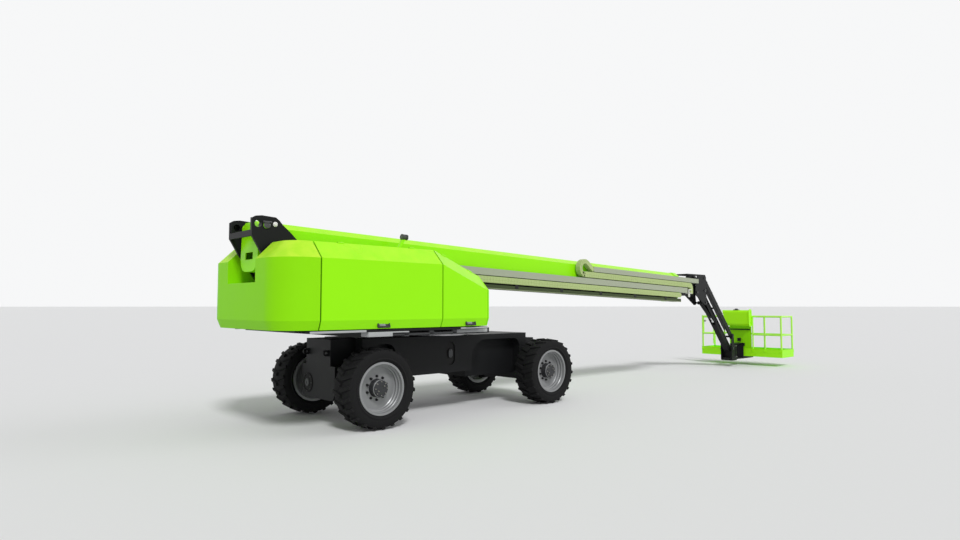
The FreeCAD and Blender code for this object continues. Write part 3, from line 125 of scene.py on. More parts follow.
# --- Chassis, axles and slew ring -----------------------------------------------------------------------
# Welded boxes in satin charcoal paint, with road dust on what faces up and faint mottling.
# The slew ring between chassis and turntable is machined steel.
def coat(name, colour, roughness, dust_and_sheen=0.0, metallic=0.0, grain=0.06, orange_peel=0.04, gleam=0.3,
         dust_and_sheen_colour=(0.30, 0.28, 0.25)):
    """A paint or casting finish: slight mottling, dust on upward faces (a painted sheen on the lime paints),
    uneven gloss and a fine bump.
    """
    finish = bpy.data.materials.new(name)
    finish.use_nodes = True
    tree = finish.node_tree
    place = node(tree, "TexCoord", {}).outputs["Object"]
    mottle = node(tree, "TexNoise", {"Vector": place, "Scale": 1.7, "Detail": 5.0}).outputs["Fac"]
    darker = [c * (1 - grain) for c in colour] + [1.0]
    lighter = [min(1.0, c * (1 + grain)) for c in colour] + [1.0]
    top = node(tree, "Mix", {0: mottle, 6: darker, 7: lighter}, data_type="RGBA").outputs[2]
    # Upward faces blend towards the given colour: real dust on most finishes, a painted highlight (sheen) on
    # the two lime paints.
    if dust_and_sheen > 0:
        patches = node(tree, "TexNoise", {"Vector": place, "Scale": 6.0, "Detail": 8.0}).outputs["Fac"]
        normal = node(tree, "NewGeometry", {}).outputs["Normal"]
        upward = node(tree, "SeparateXYZ", {"Vector": normal}).outputs["Z"]
        lie = node(tree, "MapRange", {"Value": upward, "From Min": 0.2, "From Max": 1.0, "To Max": dust_and_sheen})
        amount = node(tree, "Math", {0: lie.outputs["Result"], 1: patches}, operation="MULTIPLY").outputs[0]
        top = node(tree, "Mix", {0: amount, 6: top, 7: [*dust_and_sheen_colour, 1.0]}, data_type="RGBA").outputs[2]
    gloss = node(tree, "MapRange", {"Value": mottle, "To Min": max(0.03, roughness - 0.07),
                                    "To Max": min(1.0, roughness + 0.07)}).outputs["Result"]
    ripple = node(tree, "TexNoise", {"Vector": place, "Scale": 160.0}).outputs["Fac"]
    bump = node(tree, "Bump", {"Height": ripple, "Strength": orange_peel, "Distance": 0.002})
    shader = tree.nodes["Principled BSDF"]
    shader.inputs["Metallic"].default_value = metallic
    shader.inputs["Specular IOR Level"].default_value = gleam
    for socket, source in (("Base Color", top), ("Roughness", gloss), ("Normal", bump.outputs["Normal"])):
        tree.links.new(source, shader.inputs[socket])
    return finish


def dress(finish, *nodes):
    """Give CAD nodes their finish."""
    for node_name in nodes:
        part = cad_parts[node_name]
        part.data.materials.clear()
        part.data.materials.append(finish)


charcoal = coat("charcoal_paint", (0.010, 0.0105, 0.0112), 0.44, dust_and_sheen=0.10, grain=0.12, gleam=0.14,
                dust_and_sheen_colour=(0.12, 0.115, 0.10))
machined = coat("machined_steel", (0.42, 0.42, 0.43), 0.35, metallic=1.0)
dress(charcoal, "chassis_frame", "axle_boxes", *["axle_beam_" + t for t in ("fl", "fr", "rl", "rr")],
      *["knuckle_" + t for t in ("fl", "fr", "rl", "rr")])
dress(machined, "slew_ring")


# --- Tyres ----------------------------------------------------------------------------------------------
# Foam-filled rubber, near black: a round casing with a bulged sidewall and a rib that guards the rim, and
# twenty-two slanting lugs over each shoulder, the far row half a pitch on. All four are alike.
def turn(axis, degrees):
    """A turn about an axis."""
    return Matrix.Rotation(math.radians(degrees), 4, axis)


def leave_edit():
    """Back to object mode, where a piece was being shaped."""
    if bpy.context.mode == "EDIT_MESH":
        bpy.ops.object.mode_set(mode="OBJECT")


def pick(obj, mode, wanted):
    """Go into edit mode and select just those parts of a mesh for which wanted(part) is true."""
    bpy.context.view_layer.objects.active = obj
    if bpy.context.mode != "EDIT_MESH":
        bpy.ops.object.mode_set(mode="EDIT")
    bpy.ops.mesh.select_mode(type=mode)
    bpy.ops.mesh.select_all(action="DESELECT")
    mesh = bmesh.from_edit_mesh(obj.data)
    for part in {"VERT": mesh.verts, "EDGE": mesh.edges, "FACE": mesh.faces}[mode]:
        if wanted(part):
            part.select_set(True)
    mesh.select_flush_mode()
    bmesh.update_edit_mesh(obj.data)


def extrude(x, y, z):
    """Extrude what is selected by so much."""
    bpy.ops.mesh.extrude_region_move(TRANSFORM_OT_translate={"value": (x, y, z)})


def face_outwards():
    """Turn every face of the mesh in edit mode outwards."""
    bpy.ops.mesh.select_all(action="SELECT")
    bpy.ops.mesh.normals_make_consistent(inside=False)


def applied(obj):
    """Apply a piece's place to its mesh."""
    bpy.ops.object.select_all(action="DESELECT")
    obj.select_set(True)
    bpy.context.view_layer.objects.active = obj
    bpy.ops.object.transform_apply(location=True, rotation=True, scale=True)
    return obj


def turned(rings, sides, place=Matrix()):
    """A turned piece about Z, from its lowest ring to its highest, given as (radius, height), then placed."""
    radius, height = rings[0]
    leave_edit()
    bpy.ops.mesh.primitive_circle_add(vertices=sides, radius=radius, fill_type="NGON",
                                      location=(0, 0, height))
    obj = applied(bpy.context.object)
    bpy.ops.object.mode_set(mode="EDIT")
    for new_radius, new_height in rings[1:]:
        extrude(0, 0, new_height - height)
        share = new_radius / radius
        bpy.ops.transform.resize(value=(share, share, 1), center_override=(0, 0, new_height))
        radius, height = new_radius, new_height
    face_outwards()
    leave_edit()
    obj.matrix_world = place
    return applied(obj)


def copied(obj, place):
    """A copy of a piece with a mesh of its own, at another place."""
    leave_edit()
    copy = obj.copy()
    copy.data = obj.data.copy()
    bpy.context.scene.collection.objects.link(copy)
    copy.matrix_world = place
    return applied(copy)


def joined(pieces):
    """Several meshes made one."""
    leave_edit()
    bpy.ops.object.select_all(action="DESELECT")
    for piece in pieces:
        piece.select_set(True)
    bpy.context.view_layer.objects.active = pieces[0]
    if len(pieces) > 1:
        bpy.ops.object.join()
    return pieces[0]


def finished(obj, name, finish, body, place=None):
    """Apply a piece's place and give it its name, shading, finish and body."""
    leave_edit()
    if place:
        obj.matrix_world = place
    applied(obj)
    bpy.ops.object.shade_smooth_by_angle(angle=math.radians(35))
    obj.name = name
    obj.data.name = name
    obj.data.materials.clear()
    obj.data.materials.append(finish)
    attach(obj, body)
    obj.select_set(False)


def discard(*spares):
    """Remove the patterns that copies were made from."""
    for spare in spares:
        bpy.data.objects.remove(spare)


rubber = coat("tyre_rubber_finish", (0.0085, 0.0085, 0.009), 0.78, grain=0.25, orange_peel=0.15, gleam=0.16)
lug_count = 22
wheel_spots = {"fl": (1, 1), "fr": (1, -1), "rl": (-1, 1), "rr": (-1, -1)}
casing_half_profile = [(0.5465, 0.190), (0.541, 0.200), (0.522, 0.209), (0.492, 0.2150), (0.456, 0.2155),
                       (0.434, 0.2120), (0.426, 0.2165), (0.414, 0.2165), (0.405, 0.207), (0.387, 0.191),
                       (0.3785, 0.180), (0.3775, 0.1750), (0.3558, 0.1745)]
casing_rings = [(r, -y) for r, y in reversed(casing_half_profile)] + casing_half_profile
casing = turned(casing_rings, 88, turn("X", -90))
pick(casing, "FACE", lambda f: len(f.verts) > 8)
bpy.ops.mesh.bridge_edge_loops()
face_outwards()
leave_edit()

tread_z = -0.5585
bpy.ops.mesh.primitive_cube_add(size=1, location=(0, 0.11525, -0.555))
lug = bpy.context.object
lug.scale = (0.058, 0.2145, 0.045)
applied(lug)
pick(lug, "VERT", lambda v: v.co.y > 0.1 and v.co.z < -0.555)
bpy.ops.transform.translate(value=(0, 0, 0.018))
pick(lug, "VERT", lambda v: v.co.y > 0.1 and v.co.z > -0.54)
bpy.ops.transform.translate(value=(0, -0.034, 0.060))
pick(lug, "VERT", lambda v: v.co.z < tread_z)
bpy.ops.transform.resize(value=(0.9, 1, 1), center_override=(0, 0, 0))
pick(lug, "EDGE", lambda e: sum(v.co.z < tread_z for v in e.verts) + sum(v.co.y > 0.15 for v in e.verts) > 1)
bpy.ops.mesh.bevel(offset=0.006, segments=2, affect="EDGES")
bpy.ops.mesh.select_all(action="SELECT")
bpy.ops.transform.rotate(value=math.radians(-17), orient_axis="Z", center_override=(0, 0.008, 0))
far_lug = copied(lug, turn("Y", 180 / lug_count) @ Matrix.Scale(-1, 4, (0, 1, 0)))
for row in (lug, far_lug):
    pick(row, "FACE", lambda f: True)
    bpy.ops.mesh.normals_make_consistent(inside=False)
    bpy.ops.mesh.spin(steps=lug_count - 1, dupli=True, angle=2 * math.pi * (lug_count - 1) / lug_count,
                      center=(0, 0, 0), axis=(0, 1, 0))
    leave_edit()
tyre = joined([casing, lug, far_lug])
for tag in wheel_spots:
    low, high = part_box("tyre_" + tag)
    fitted = copied(tyre, Matrix.Translation((low + high) / 2))
    finished(fitted, "tyre_dressed_" + tag, rubber, "wheel_" + tag)
    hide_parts("tyre_" + tag)
discard(tyre)


# --- Wheel discs, hubs and nuts -------------------------------------------------------------------------
# Pressed steel discs in silver-grey paint. A dark cast reduction hub is bolted through each disc, with a
# bolted end cover and ten wheel nuts round its flange.
wheel_silver = coat("wheel_silver_paint", (0.27, 0.275, 0.28), 0.36, grain=0.05, metallic=0.25)
hub_iron = coat("hub_enamel", (0.030, 0.031, 0.034), 0.45, grain=0.15, orange_peel=0.08)
zinc = coat("zinc_plate", (0.34, 0.33, 0.30), 0.35, metallic=0.9, grain=0.12)
black_bolt = coat("black_bolt_finish", (0.015, 0.015, 0.016), 0.40, metallic=0.4, grain=0.1)


def shift(x, y, z):
    """A move by so much."""
    return Matrix.Translation((x, y, z))


def bolt(across, thickness):
    """A hexagon head with a bevelled crown on a round washer, standing on z = 0."""
    washer = turned([(across * 0.62, 0), (across * 0.62, thickness * 0.16),
                     (across * 0.58, thickness * 0.2)], 14)
    head = turned([(across * 0.54, thickness * 0.19), (across * 0.54, thickness * 0.85),
                   (across * 0.46, thickness)], 6)
    return joined([washer, head])


def ring_of(piece, count, radius, height, first=0.0):
    """Like pieces set round a circle about Z, the first so many degrees on."""
    return joined([copied(piece, turn("Z", 360 * i / count + first) @ shift(radius, 0, height))
                   for i in range(count)])


nut = bolt(0.031, 0.030)
cap_screw = bolt(0.014, 0.010)
disc_face = 0.0405
cover_face = 0.1665
hub = turned([(0.1300, disc_face), (0.1300, 0.060), (0.1272, 0.066), (0.1272, 0.118), (0.1315, 0.122),
              (0.1315, 0.136), (0.1272, 0.140), (0.1180, 0.156), (0.1080, cover_face), (0.086, cover_face),
              (0.082, 0.1700), (0.036, 0.1700), (0.033, cover_face), (0.020, cover_face)], 48)
nuts = ring_of(nut, 10, 0.1675, disc_face, 18)
screws = joined([ring_of(cap_screw, 8, 0.097, cover_face), ring_of(cap_screw, 2, 0.059, 0.1700, 34.3775)])
for tag, (_, side) in wheel_spots.items():
    dress(wheel_silver, "rim_" + tag)
    low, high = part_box("tyre_" + tag)
    out = Matrix.Translation((low + high) / 2) @ turn("X", -90 * side)
    for piece, name, finish, slot in ((hub, "hub_", hub_iron, "dark_paint"),
                                      (nuts, "wheel_nuts_", black_bolt, "dark_paint"),
                                      (screws, "hub_screws_", zinc, "bare_steel")):
        finished(copied(piece, out), name + tag, finish, "wheel_" + tag)
discard(nut, cap_screw, hub, nuts, screws)


# --- Ports, axle caps and lock screws -------------------------------------------------------------------
# Small steel pieces of the undercarriage in satin black: covers over the upright ports and the rear port,
# ring nuts on the kingpins, and zinc lock screws through the yokes and the mouths of the axle boxes.
def at(x, y, z):
    """A place on the machine, its x counted forwards from midway between the axles."""
    return shift(x - origin_x, y, z)


def block(low, high, bevel, segments=2):
    """A box between two corners with its edges bevelled."""
    low, high = Vector(low), Vector(high)
    leave_edit()
    bpy.ops.mesh.primitive_cube_add(size=1, location=(low + high) / 2)
    obj = bpy.context.object
    obj.scale = high - low
    applied(obj)
    if bevel > 0:
        pick(obj, "EDGE", lambda e: True)
        bpy.ops.mesh.bevel(offset=bevel, segments=segments, affect="EDGES")
    leave_edit()
    return obj


def slotted(half_width, half_height, low, high, bevel):
    """An upright plate with round ends, from low to high on Z, its upper rim bevelled."""
    bpy.ops.mesh.primitive_circle_add(vertices=36, radius=half_width, fill_type="NGON", location=(0, 0, low))
    obj = applied(bpy.context.object)
    for end in (1, -1):
        pick(obj, "VERT", lambda v: v.co.y * end > 1e-5)
        bpy.ops.transform.translate(value=(0, end * (half_height - half_width), 0))
    bpy.ops.mesh.select_all(action="SELECT")
    extrude(0, 0, high - low)
    face_outwards()
    pick(obj, "EDGE", lambda e: min(v.co.z for v in e.verts) > high - 1e-5)
    bpy.ops.mesh.bevel(offset=bevel, segments=1, affect="EDGES")
    leave_edit()
    return obj


origin_x = 4.587232
half_wheelbase = 1.826
axle_height = 0.5775
sides = (("left", 1), ("right", -1))
port_black = coat("port_seal_rubber", (0.008, 0.008, 0.008), 0.75, grain=0.1)
cap_grey = coat("port_cap_paint", (0.060, 0.062, 0.066), 0.40, dust_and_sheen=0.2, grain=0.1)
port_screw = bolt(0.016, 0.009)
for tag, side in sides:
    port = at(-0.060, side * 0.555, 0.955) @ turn("Z", 180 * (side > 0)) @ turn("X", 90)
    # The black obround ring sunk round each port cap is painted shade: it darkens the recess where shadow
    # falls.
    recess_ring = slotted(0.093, 0.191, -0.0298, -0.018, 0.002)
    finished(recess_ring, "port_seal_" + tag, port_black, "chassis", port)
    cap = joined([slotted(0.044, 0.071, 0.0002, 0.009, 0.003)] +
                 [copied(port_screw, shift(0, z, 0.009)) for z in (-0.048, 0.048)])
    finished(cap, "port_cap_" + tag, cap_grey, "chassis", port)

# The port on the rear end housing: a dark gland with a lighter plug and a ring of screws.
rear_port = at(-2.200, 0.304, 0.577) @ turn("Y", -90)
gland = turned([(0.150, 0), (0.150, 0.008), (0.140, 0.012), (0.118, 0.012), (0.112, 0.004)], 40)
finished(gland, "rear_port_gland", port_black, "chassis", rear_port)
plug = joined([turned([(0.060, 0.004), (0.060, 0.016), (0.052, 0.022), (0.022, 0.022), (0.018, 0.014)], 28),
               ring_of(port_screw, 8, 0.130, 0.012)])
finished(plug, "rear_port_plug", cap_grey, "chassis", rear_port)

# Ring nuts with a grease nipple close both ends of each kingpin, and four screws lock each yoke.
pin_cap = joined([turned([(0.052, 0), (0.052, 0.010), (0.047, 0.014), (0.024, 0.014), (0.020, 0.020)], 6),
                  turned([(0.0065, 0.014), (0.0065, 0.028), (0.003, 0.033)], 10)])
lock_screw = bolt(0.022, 0.014)
for tag, (end, side) in wheel_spots.items():
    caps = [copied(pin_cap, at(end * half_wheelbase, side * 0.700, axle_height + rise) @ turn("X", flip))
            for rise, flip in ((0.2504, 0), (-0.2504, 180))]
    finished(joined(caps), "kingpin_caps_" + tag, black_bolt, "axle_" + tag)
    low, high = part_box("axle_beam_" + tag)
    yoke_screws = [copied(lock_screw, shift(x, side * 0.6030, axle_height + rise) @ turn("X", -90 * side))
                   for rise in (-0.19, 0.19) for x in (low.x + 0.035, high.x - 0.035)]
    finished(joined(yoke_screws), "yoke_screws_" + tag, zinc, "axle_" + tag)

# Lock screws hold the wear pads at the mouths of the axle boxes.
pad_screws = [copied(lock_screw, at(end * (half_wheelbase + x), side * 0.525, axle_height + rise)
                     @ turn("X", flip) @ Matrix.Scale(0.7, 4))
              for end in (1, -1) for x in (0.0, 0.093, 0.185) for side in (1, -1)
              for rise, flip in ((0.1732, 0), (-0.1732, 180))]
finished(joined(pad_screws), "wear_pad_screws", zinc, "chassis")
discard(port_screw, lock_screw, pin_cap)


# --- Turntable, covers and counterweight ----------------------------------------------------------------
# The turntable frame and the boom's cheeks are thick plate in charcoal. The counterweight is a painted
# casting, a little rougher than the pressed steel covers beside it.
# On both lime paints, the pale yellow layer on upward faces is a painted highlight: the soft sheen on the top
# bevels of the covers, boom and counterweight.
lime = coat("lime_cover_paint", (0.315, 0.89, 0.004), 0.30, dust_and_sheen=0.9, grain=0.02, orange_peel=0.03,
            gleam=0.15, dust_and_sheen_colour=(0.62, 0.93, 0.045))
lime_cast = coat("lime_casting_paint", (0.275, 0.77, 0.004), 0.42, dust_and_sheen=1.2, grain=0.04, orange_peel=0.22,
                 gleam=0.10, dust_and_sheen_colour=(0.76, 0.96, 0.08))
engine_enamel = coat("engine_enamel", (0.10, 0.10, 0.11), 0.55, dust_and_sheen=0.25, grain=0.25, orange_peel=0.3)
tank_black = coat("tank_polyethylene", (0.055, 0.056, 0.060), 0.50, dust_and_sheen=0.25, grain=0.10, orange_peel=0.15)
edge_grey = coat("deck_edge_paint", (0.40, 0.41, 0.42), 0.45, dust_and_sheen=0.1, grain=0.08)
dress(charcoal, "turntable_frame")
dress(lime_cast, "counterweight")
dress(lime, "cover_tops", "side_cover_left", "side_cover_right", "front_cover_left", "front_cover_right")
dress(engine_enamel, "engine_block")
dress(tank_black, "tank_block")

# Bent strips of sheet edge the tray that the covers stand on, and the deck below it carries a skirt with stop
# blocks along both sides. The skirt's dark grey is painted shade for the middle of the deck, which lies in
# shadow under the covers.
edge_strips = (((-2.985, 1.196, 1.381), (-2.130, 1.206, 1.411)),
               ((-2.095, 1.010, 1.312), (-1.690, 1.204, 1.3798)),
               ((-1.690, 1.100, 1.362), (-1.400, 1.204, 1.3798)),
               ((-0.400, 1.196, 1.386), (0.190, 1.207, 1.409)),
               ((-0.400, 1.002, 1.318), (0.330, 1.040, 1.372)))
for tag, side in sides:
    strips = []
    for (x0, y0, z0), (x1, y1, z1) in edge_strips:
        y0, y1 = sorted((side * y0, side * y1))
        strips.append(block((x0 - origin_x, y0, z0), (x1 - origin_x, y1, z1), 0.004))
    finished(joined(strips), "deck_edge_" + tag, edge_grey, "turntable")
    y0, y1 = sorted((side * 1.002, side * 1.150))
    skirt = [block((-1.680 - origin_x, y0, 1.316), (-0.430 - origin_x, y1, 1.350), 0.010)]
    skirt += [block((x - origin_x, y0, 1.302), (x + 0.09 - origin_x, y1 - side * 0.02, 1.379), 0.005)
              for x in (-1.45, -0.98, -0.52)]
    # Painted shade: the skirt's dark grey stands for the shadow under the middle of the deck.
    finished(joined(skirt), "deck_skirt_shade_" + tag, cap_grey, "turntable")

# Each cover has a recessed black paddle latch near its foot, on the leaning part of its face.
latch_black = coat("latch_plastic", (0.020, 0.020, 0.021), 0.45, grain=0.1)
latch_steel = coat("latch_handle_finish", (0.22, 0.23, 0.24), 0.40, metallic=0.3, grain=0.08)
face_lean = math.degrees(math.atan2(0.050, 0.126))
for cover, latch_x in (("side_cover_", -6.448), ("front_cover_", -4.800)):
    for tag, side in sides:
        place = shift(latch_x, side * 1.2195, 1.487) @ turn("X", side * face_lean)
        dish = block((-0.105, -0.012, -0.052), (0.105, 0.012, 0.052), 0.004, 1)
        pick(dish, "FACE", lambda f: f.normal.y * side > 0.9)
        bpy.ops.mesh.inset(thickness=0.014, depth=0)
        extrude(0, -side * 0.010, 0)
        bpy.ops.transform.resize(value=(0.97, 1, 0.9), center_override=(0, 0, 0))
        finished(dish, "latch_dish_" + cover + tag, latch_black, cover + tag, place)
        paddle = block((-0.070, -0.004, -0.028), (0.030, 0.008, 0.022), 0.004)
        pick(paddle, "FACE", lambda f: f.normal.x > 0.9)
        extrude(0.022, -side * 0.006, 0)
        finished(paddle, "latch_handle_" + cover + tag, latch_steel, cover + tag, place)

# Pressed hinge leaves with two screws hold each cover's barrels to the fixed tops.
cover_low, cover_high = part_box("side_cover_right")
front_low, front_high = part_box("front_cover_right")
top_z, nose_z = 2.610, 2.234
hinge_lines = (((cover_low.x, top_z), (cover_high.x, top_z)), ((front_low.x, top_z), (front_high.x, nose_z)))
hinge_screw = bolt(0.013, 0.006)
for tag, side in sides:
    leaves = []
    for (x0, z0), (x1, z1) in hinge_lines:
        slope = math.degrees(math.atan2(z1 - z0, x1 - x0))
        for share in (0.2, 0.8):
            leaf = joined([block((-0.045, -0.055, 0.0004), (0.045, -0.012, 0.0055), 0.0015, 1)] +
                          [copied(hinge_screw, shift(x, -0.036, 0.0055)) for x in (-0.026, 0.026)])
            leaf.matrix_world = (shift(x0 + (x1 - x0) * share, side * 1.008, z0 + (z1 - z0) * share)
                                 @ turn("Y", -slope) @ turn("Z", 180 * (side < 0)))
            leaves.append(leaf)
    finished(joined(leaves), "hinge_leaves_" + tag, charcoal, "turntable")
discard(hinge_screw)


# --- Work lamp ------------------------------------------------------------------------------------------
# A rear-facing lamp on a leaning sheet bracket, bolted to the right-hand cover top. Its head is a dark
# plastic drum with a finned back, and a bezel holds its lens.
dress(lime, "work_lamp")
lamp_grey = coat("lamp_body_plastic", (0.060, 0.060, 0.062), 0.45, grain=0.1)
lens_clear = coat("lamp_lens", (0.10, 0.10, 0.11), 0.08, grain=0.05)
lamp_bright = coat("lamp_bracket_screws", (0.85, 0.87, 0.82), 0.25, metallic=0.3, grain=0.05)
lamp_y = -0.524
lamp_place = at(-1.000, lamp_y, 2.832) @ turn("Y", -90)
drum = turned([(0.030, -0.050), (0.0465, -0.044), (0.0465, -0.034), (0.0462, -0.030), (0.0462, 0.030),
               (0.0500, 0.034), (0.0500, 0.052), (0.0460, 0.056), (0.0400, 0.056), (0.0370, 0.044)], 36)
fins = [block((x - 0.0025, -0.049, -0.045), (x + 0.0025, 0.049, -0.010), 0.001, 1)
        for x in (-0.028, -0.014, 0, 0.014, 0.028)]
finished(joined([drum] + fins), "work_lamp_head", lamp_grey, "turntable", lamp_place)
lens = turned([(0.0395, 0.046), (0.0395, 0.050), (0.030, 0.0535), (0.012, 0.0550)], 32)
finished(lens, "work_lamp_lens", lens_clear, "turntable", lamp_place)
lamp_screw = bolt(0.021, 0.016)
feet = [copied(lamp_screw, at(-1.130 + dx, lamp_y + dy, 2.6182))
        for dx in (-0.032, 0.034) for dy in (-0.014, 0.014)]
finished(joined(feet), "work_lamp_foot_screws", lamp_bright, "turntable")
discard(lamp_screw)


# --- Boom -----------------------------------------------------------------------------------------------
# Four box sections of folded plate, one inside the other: the base is lime and the three inner ones are
# charcoal. Its pivot pin is held by keeper plates on the cheeks' outer faces.
dress(lime, "boom_base")
dress(charcoal, "boom_mid_1", "boom_mid_2", "boom_tip")
keeper_screw = bolt(0.024, 0.015)
pin_face = coat("pin_end_finish", (0.10, 0.10, 0.105), 0.40, metallic=0.8, grain=0.15)
bright_steel = coat("bright_pin_finish", (0.78, 0.78, 0.74), 0.25, metallic=0.6, grain=0.05)


def keeper(radius):
    """A pin's turned end with a keeper plate across it, held by two bolts, facing +Z."""
    end = turned([(radius * 0.99, -0.006), (radius * 0.99, 0.003), (radius * 0.90, 0.006),
                  (radius * 0.35, 0.006), (radius * 0.30, 0.003)], 32)
    plate = block((-radius * 1.25, radius * 0.48, 0.006), (radius * 1.25, radius * 1.05, 0.014), 0.003, 1)
    screws = [copied(keeper_screw, shift(x, radius * 0.76, 0.014) @ Matrix.Scale(radius / 0.05, 4))
              for x in (radius * 0.95, -radius * 0.95)]
    return joined([end, plate] + screws)


def keepers(radius, x, z, y, name, body):
    """The keepers on both ends of a pin across the machine."""
    plates = []
    for side in (1, -1):
        plates.append(keeper(radius))
        plates[-1].matrix_world = at(x, side * y, z) @ turn("X", -90 * side)
    finished(joined(plates), name, pin_face, body)


boom_pin_x, boom_pin_z = -3.220, 2.850
keepers(0.050, boom_pin_x, boom_pin_z, 0.405, "boom_pin_keepers", "turntable")
bright_pins = [turned([(0.034, 0), (0.034, 0.006), (0.026, 0.008), (0.026, 0.020), (0.021, 0.024)], 24,
                      at(-3.100, side * 0.390, 2.868) @ turn("X", -90 * side)) for side in (1, -1)]
finished(joined(bright_pins), "cheek_pin_ends", bright_steel, "turntable")
hole_screw = bolt(0.036, 0.020)
hole_screw.matrix_world = at(-3.342, 0.391, 2.880) @ turn("X", 90)
hole_plate = block((-3.395 - origin_x, 0.391, 2.815), (-3.290 - origin_x, 0.401, 2.935), 0.003)
finished(joined([hole_plate, hole_screw]), "left_crane_hole_plate", charcoal, "turntable")


# --- Hose rails and hose runs ---------------------------------------------------------------------------
# Grey folded-sheet rails along the boom's right side guide two runs of cream plastic chain, whose flat
# links are pinned to one another. The hoses to the platform lie inside the links.
rail_grey = coat("rail_grey_paint", (0.36, 0.40, 0.29), 0.40, grain=0.05)
chain_cream = coat("chain_plastic", (0.42, 0.52, 0.22), 0.50, grain=0.08, gleam=0.2)
dress(rail_grey, "hose_rails")
dress(chain_cream, "hose_chains")
boom_pivot = at(boom_pin_x, 0, boom_pin_z)
boom_lean = 1.8
droop = boom_pivot @ turn("Y", boom_lean) @ boom_pivot.inverted()
top_line = 2.920
link_face = -0.425
link_pitch = 0.078
loop_middle = at(3.780, link_face, top_line - 0.158)
loop_radius = 0.145
link = joined([block((-0.034, -0.003, -0.052), (0.034, 0.001, 0.052), 0.0015, 1)] +
              [turned([(0.011, 0), (0.009, 0.003)], 10, shift(x, -0.003, 0) @ turn("X", 90))
               for x in (-0.021, 0.021)])
links = []
for start, end, depth in ((3.722, 8.110, 0.288), (-2.080, 7.600, 0.5635)):
    count = int((end - start) / link_pitch)
    links += [copied(link, droop @ at(start + (end - start) * i / count, link_face, top_line - depth))
              for i in range(count + 1)]
for angle in range(98, 261, 27):
    place = loop_middle @ turn("Y", -angle) @ shift(loop_radius, 0, 0) @ turn("Y", -90)
    links.append(copied(link, droop @ place @ Matrix.Diagonal((0.8, 1, 0.8, 1))))
finished(joined(links), "chain_links", chain_cream, "boom_base")
discard(link)

# A folded tray under the lower run keeps stones off it: a lip with a bright hem, hung on straps. Its dark
# olive is painted shade for the boom's underside in shadow below the chain, and the black strip at its back
# is painted shade for the dark gap right under the run.
shaded_tray_olive = coat("tray_painted_shade", (0.050, 0.070, 0.027), 0.55, dust_and_sheen=0.2, grain=0.18, gleam=0.15,
                  dust_and_sheen_colour=(0.12, 0.12, 0.07))
tray_hem = coat("tray_hem_finish", (0.20, 0.24, 0.13), 0.45, grain=0.12)
strap_and_shade_black = coat("strap_coating_and_shade", (0.006, 0.007, 0.005), 0.55, grain=0.15)


def on_boom(xs, ys, depths, bevel):
    """A bevelled bar on the boom's right side, from end to end, its depths counted down from the top face."""
    return block((xs[0] - origin_x, ys[0], top_line - depths[1]),
                 (xs[1] - origin_x, ys[1], top_line - depths[0]), bevel, 1)


tray_xs = (-2.100, 7.700)
lip = on_boom(tray_xs, (-0.413, -0.409), (0.652, 0.722), 0.001)
floor = on_boom(tray_xs, (-0.410, -0.180), (0.724, 0.728), 0.001)
back = on_boom(tray_xs, (-0.300, -0.290), (0.610, 0.726), 0.001)
hem = on_boom(tray_xs, (-0.416, -0.408), (0.716, 0.733), 0.002)
# Painted shade: the tray's dark olive stands for the boom's shaded underside, and the black back strip for
# the dark gap under the chain.
finished(joined([lip, floor]), "hose_tray", shaded_tray_olive, "boom_base", droop)
finished(back, "hose_tray_shade_strip", strap_and_shade_black, "boom_base", droop)
finished(hem, "hose_tray_hem", tray_hem, "boom_base", droop)
straps = []
for first, pitch, count, half_width, outer, depths, bevel in (
        (-0.916, 1.315, 7, 0.045, -0.419, (0.626, 0.700), 0.004),
        (4.720, 1.095, 4, 0.050, -0.429, (0.349, 0.364), 0.003),
        (0.400, 1.315, 6, 0.050, -0.429, (0.490, 0.504), 0.003)):
    for i in range(count):
        x = first + pitch * i
        straps.append(on_boom((x - half_width, x + half_width), (outer, -0.300), depths, bevel))
finished(joined(straps), "run_straps", strap_and_shade_black, "boom_base", droop)

# The hoses leave the upper run's front end through a clamp with steel tails.
tails = [on_boom((8.060, 8.205), (-0.431, -0.330), depths, 0.004)
         for depths in ((0.395, 0.420), (0.480, 0.500))]
tails += [turned([(0.012, 0), (0.014, 0.006), (0.014, 0.040), (0.020, 0.042), (0.020, 0.062), (0.0135, 0.064),
                  (0.0135, 0.200)], 12, at(8.085 + 0.046 * i, -0.404 + 0.012 * i, top_line - 0.590))
          for i in range(3)]
finished(joined(tails), "hose_tails", bright_steel, "boom_base", droop)


# --- Lift cylinder --------------------------------------------------------------------------------------
# One large cylinder between the cheeks raises the boom. Its barrel is charcoal with a screwed gland, two
# ports and a holding valve, and its rod is hard chrome.
def along(start, run):
    """A place at the start of a run, with its Z along the run."""
    return Matrix.Translation(start) @ run.to_track_quat("Z", "Y").to_matrix().to_4x4()


chrome = coat("hard_chrome", (0.80, 0.81, 0.82), 0.10, metallic=1.0, grain=0.02, orange_peel=0.01)
dress(charcoal, "lift_barrel")
dress(chrome, "lift_rod")
lift_pin_x, lift_pin_z = -2.500, 1.600
lift_foot = Vector((lift_pin_x - origin_x, 0, lift_pin_z))
lift_run = Vector((-0.0447 - origin_x, 0, 2.0148)) - lift_foot
gland_at = lift_run.length - 0.330
port_at = gland_at - 0.08
lift_gland = turned([(0.1155, gland_at - 0.100), (0.127, gland_at - 0.096), (0.127, gland_at - 0.006),
                     (0.120, gland_at + 0.002), (0.082, gland_at + 0.002), (0.078, gland_at + 0.008),
                     (0.0735, gland_at + 0.008)], 48)
gland_screw = bolt(0.018, 0.012)
gland_screws = ring_of(gland_screw, 10, 0.101, gland_at + 0.002)
valve = joined([block((-0.05, 0.105, 0.24), (0.05, 0.185, 0.40), 0.006),
                block((-0.03, 0.108, port_at), (0.03, 0.150, port_at + 0.06), 0.005)])
pipe = turned([(0.011, 0.40), (0.011, port_at)], 12, shift(0, 0.134, 0))
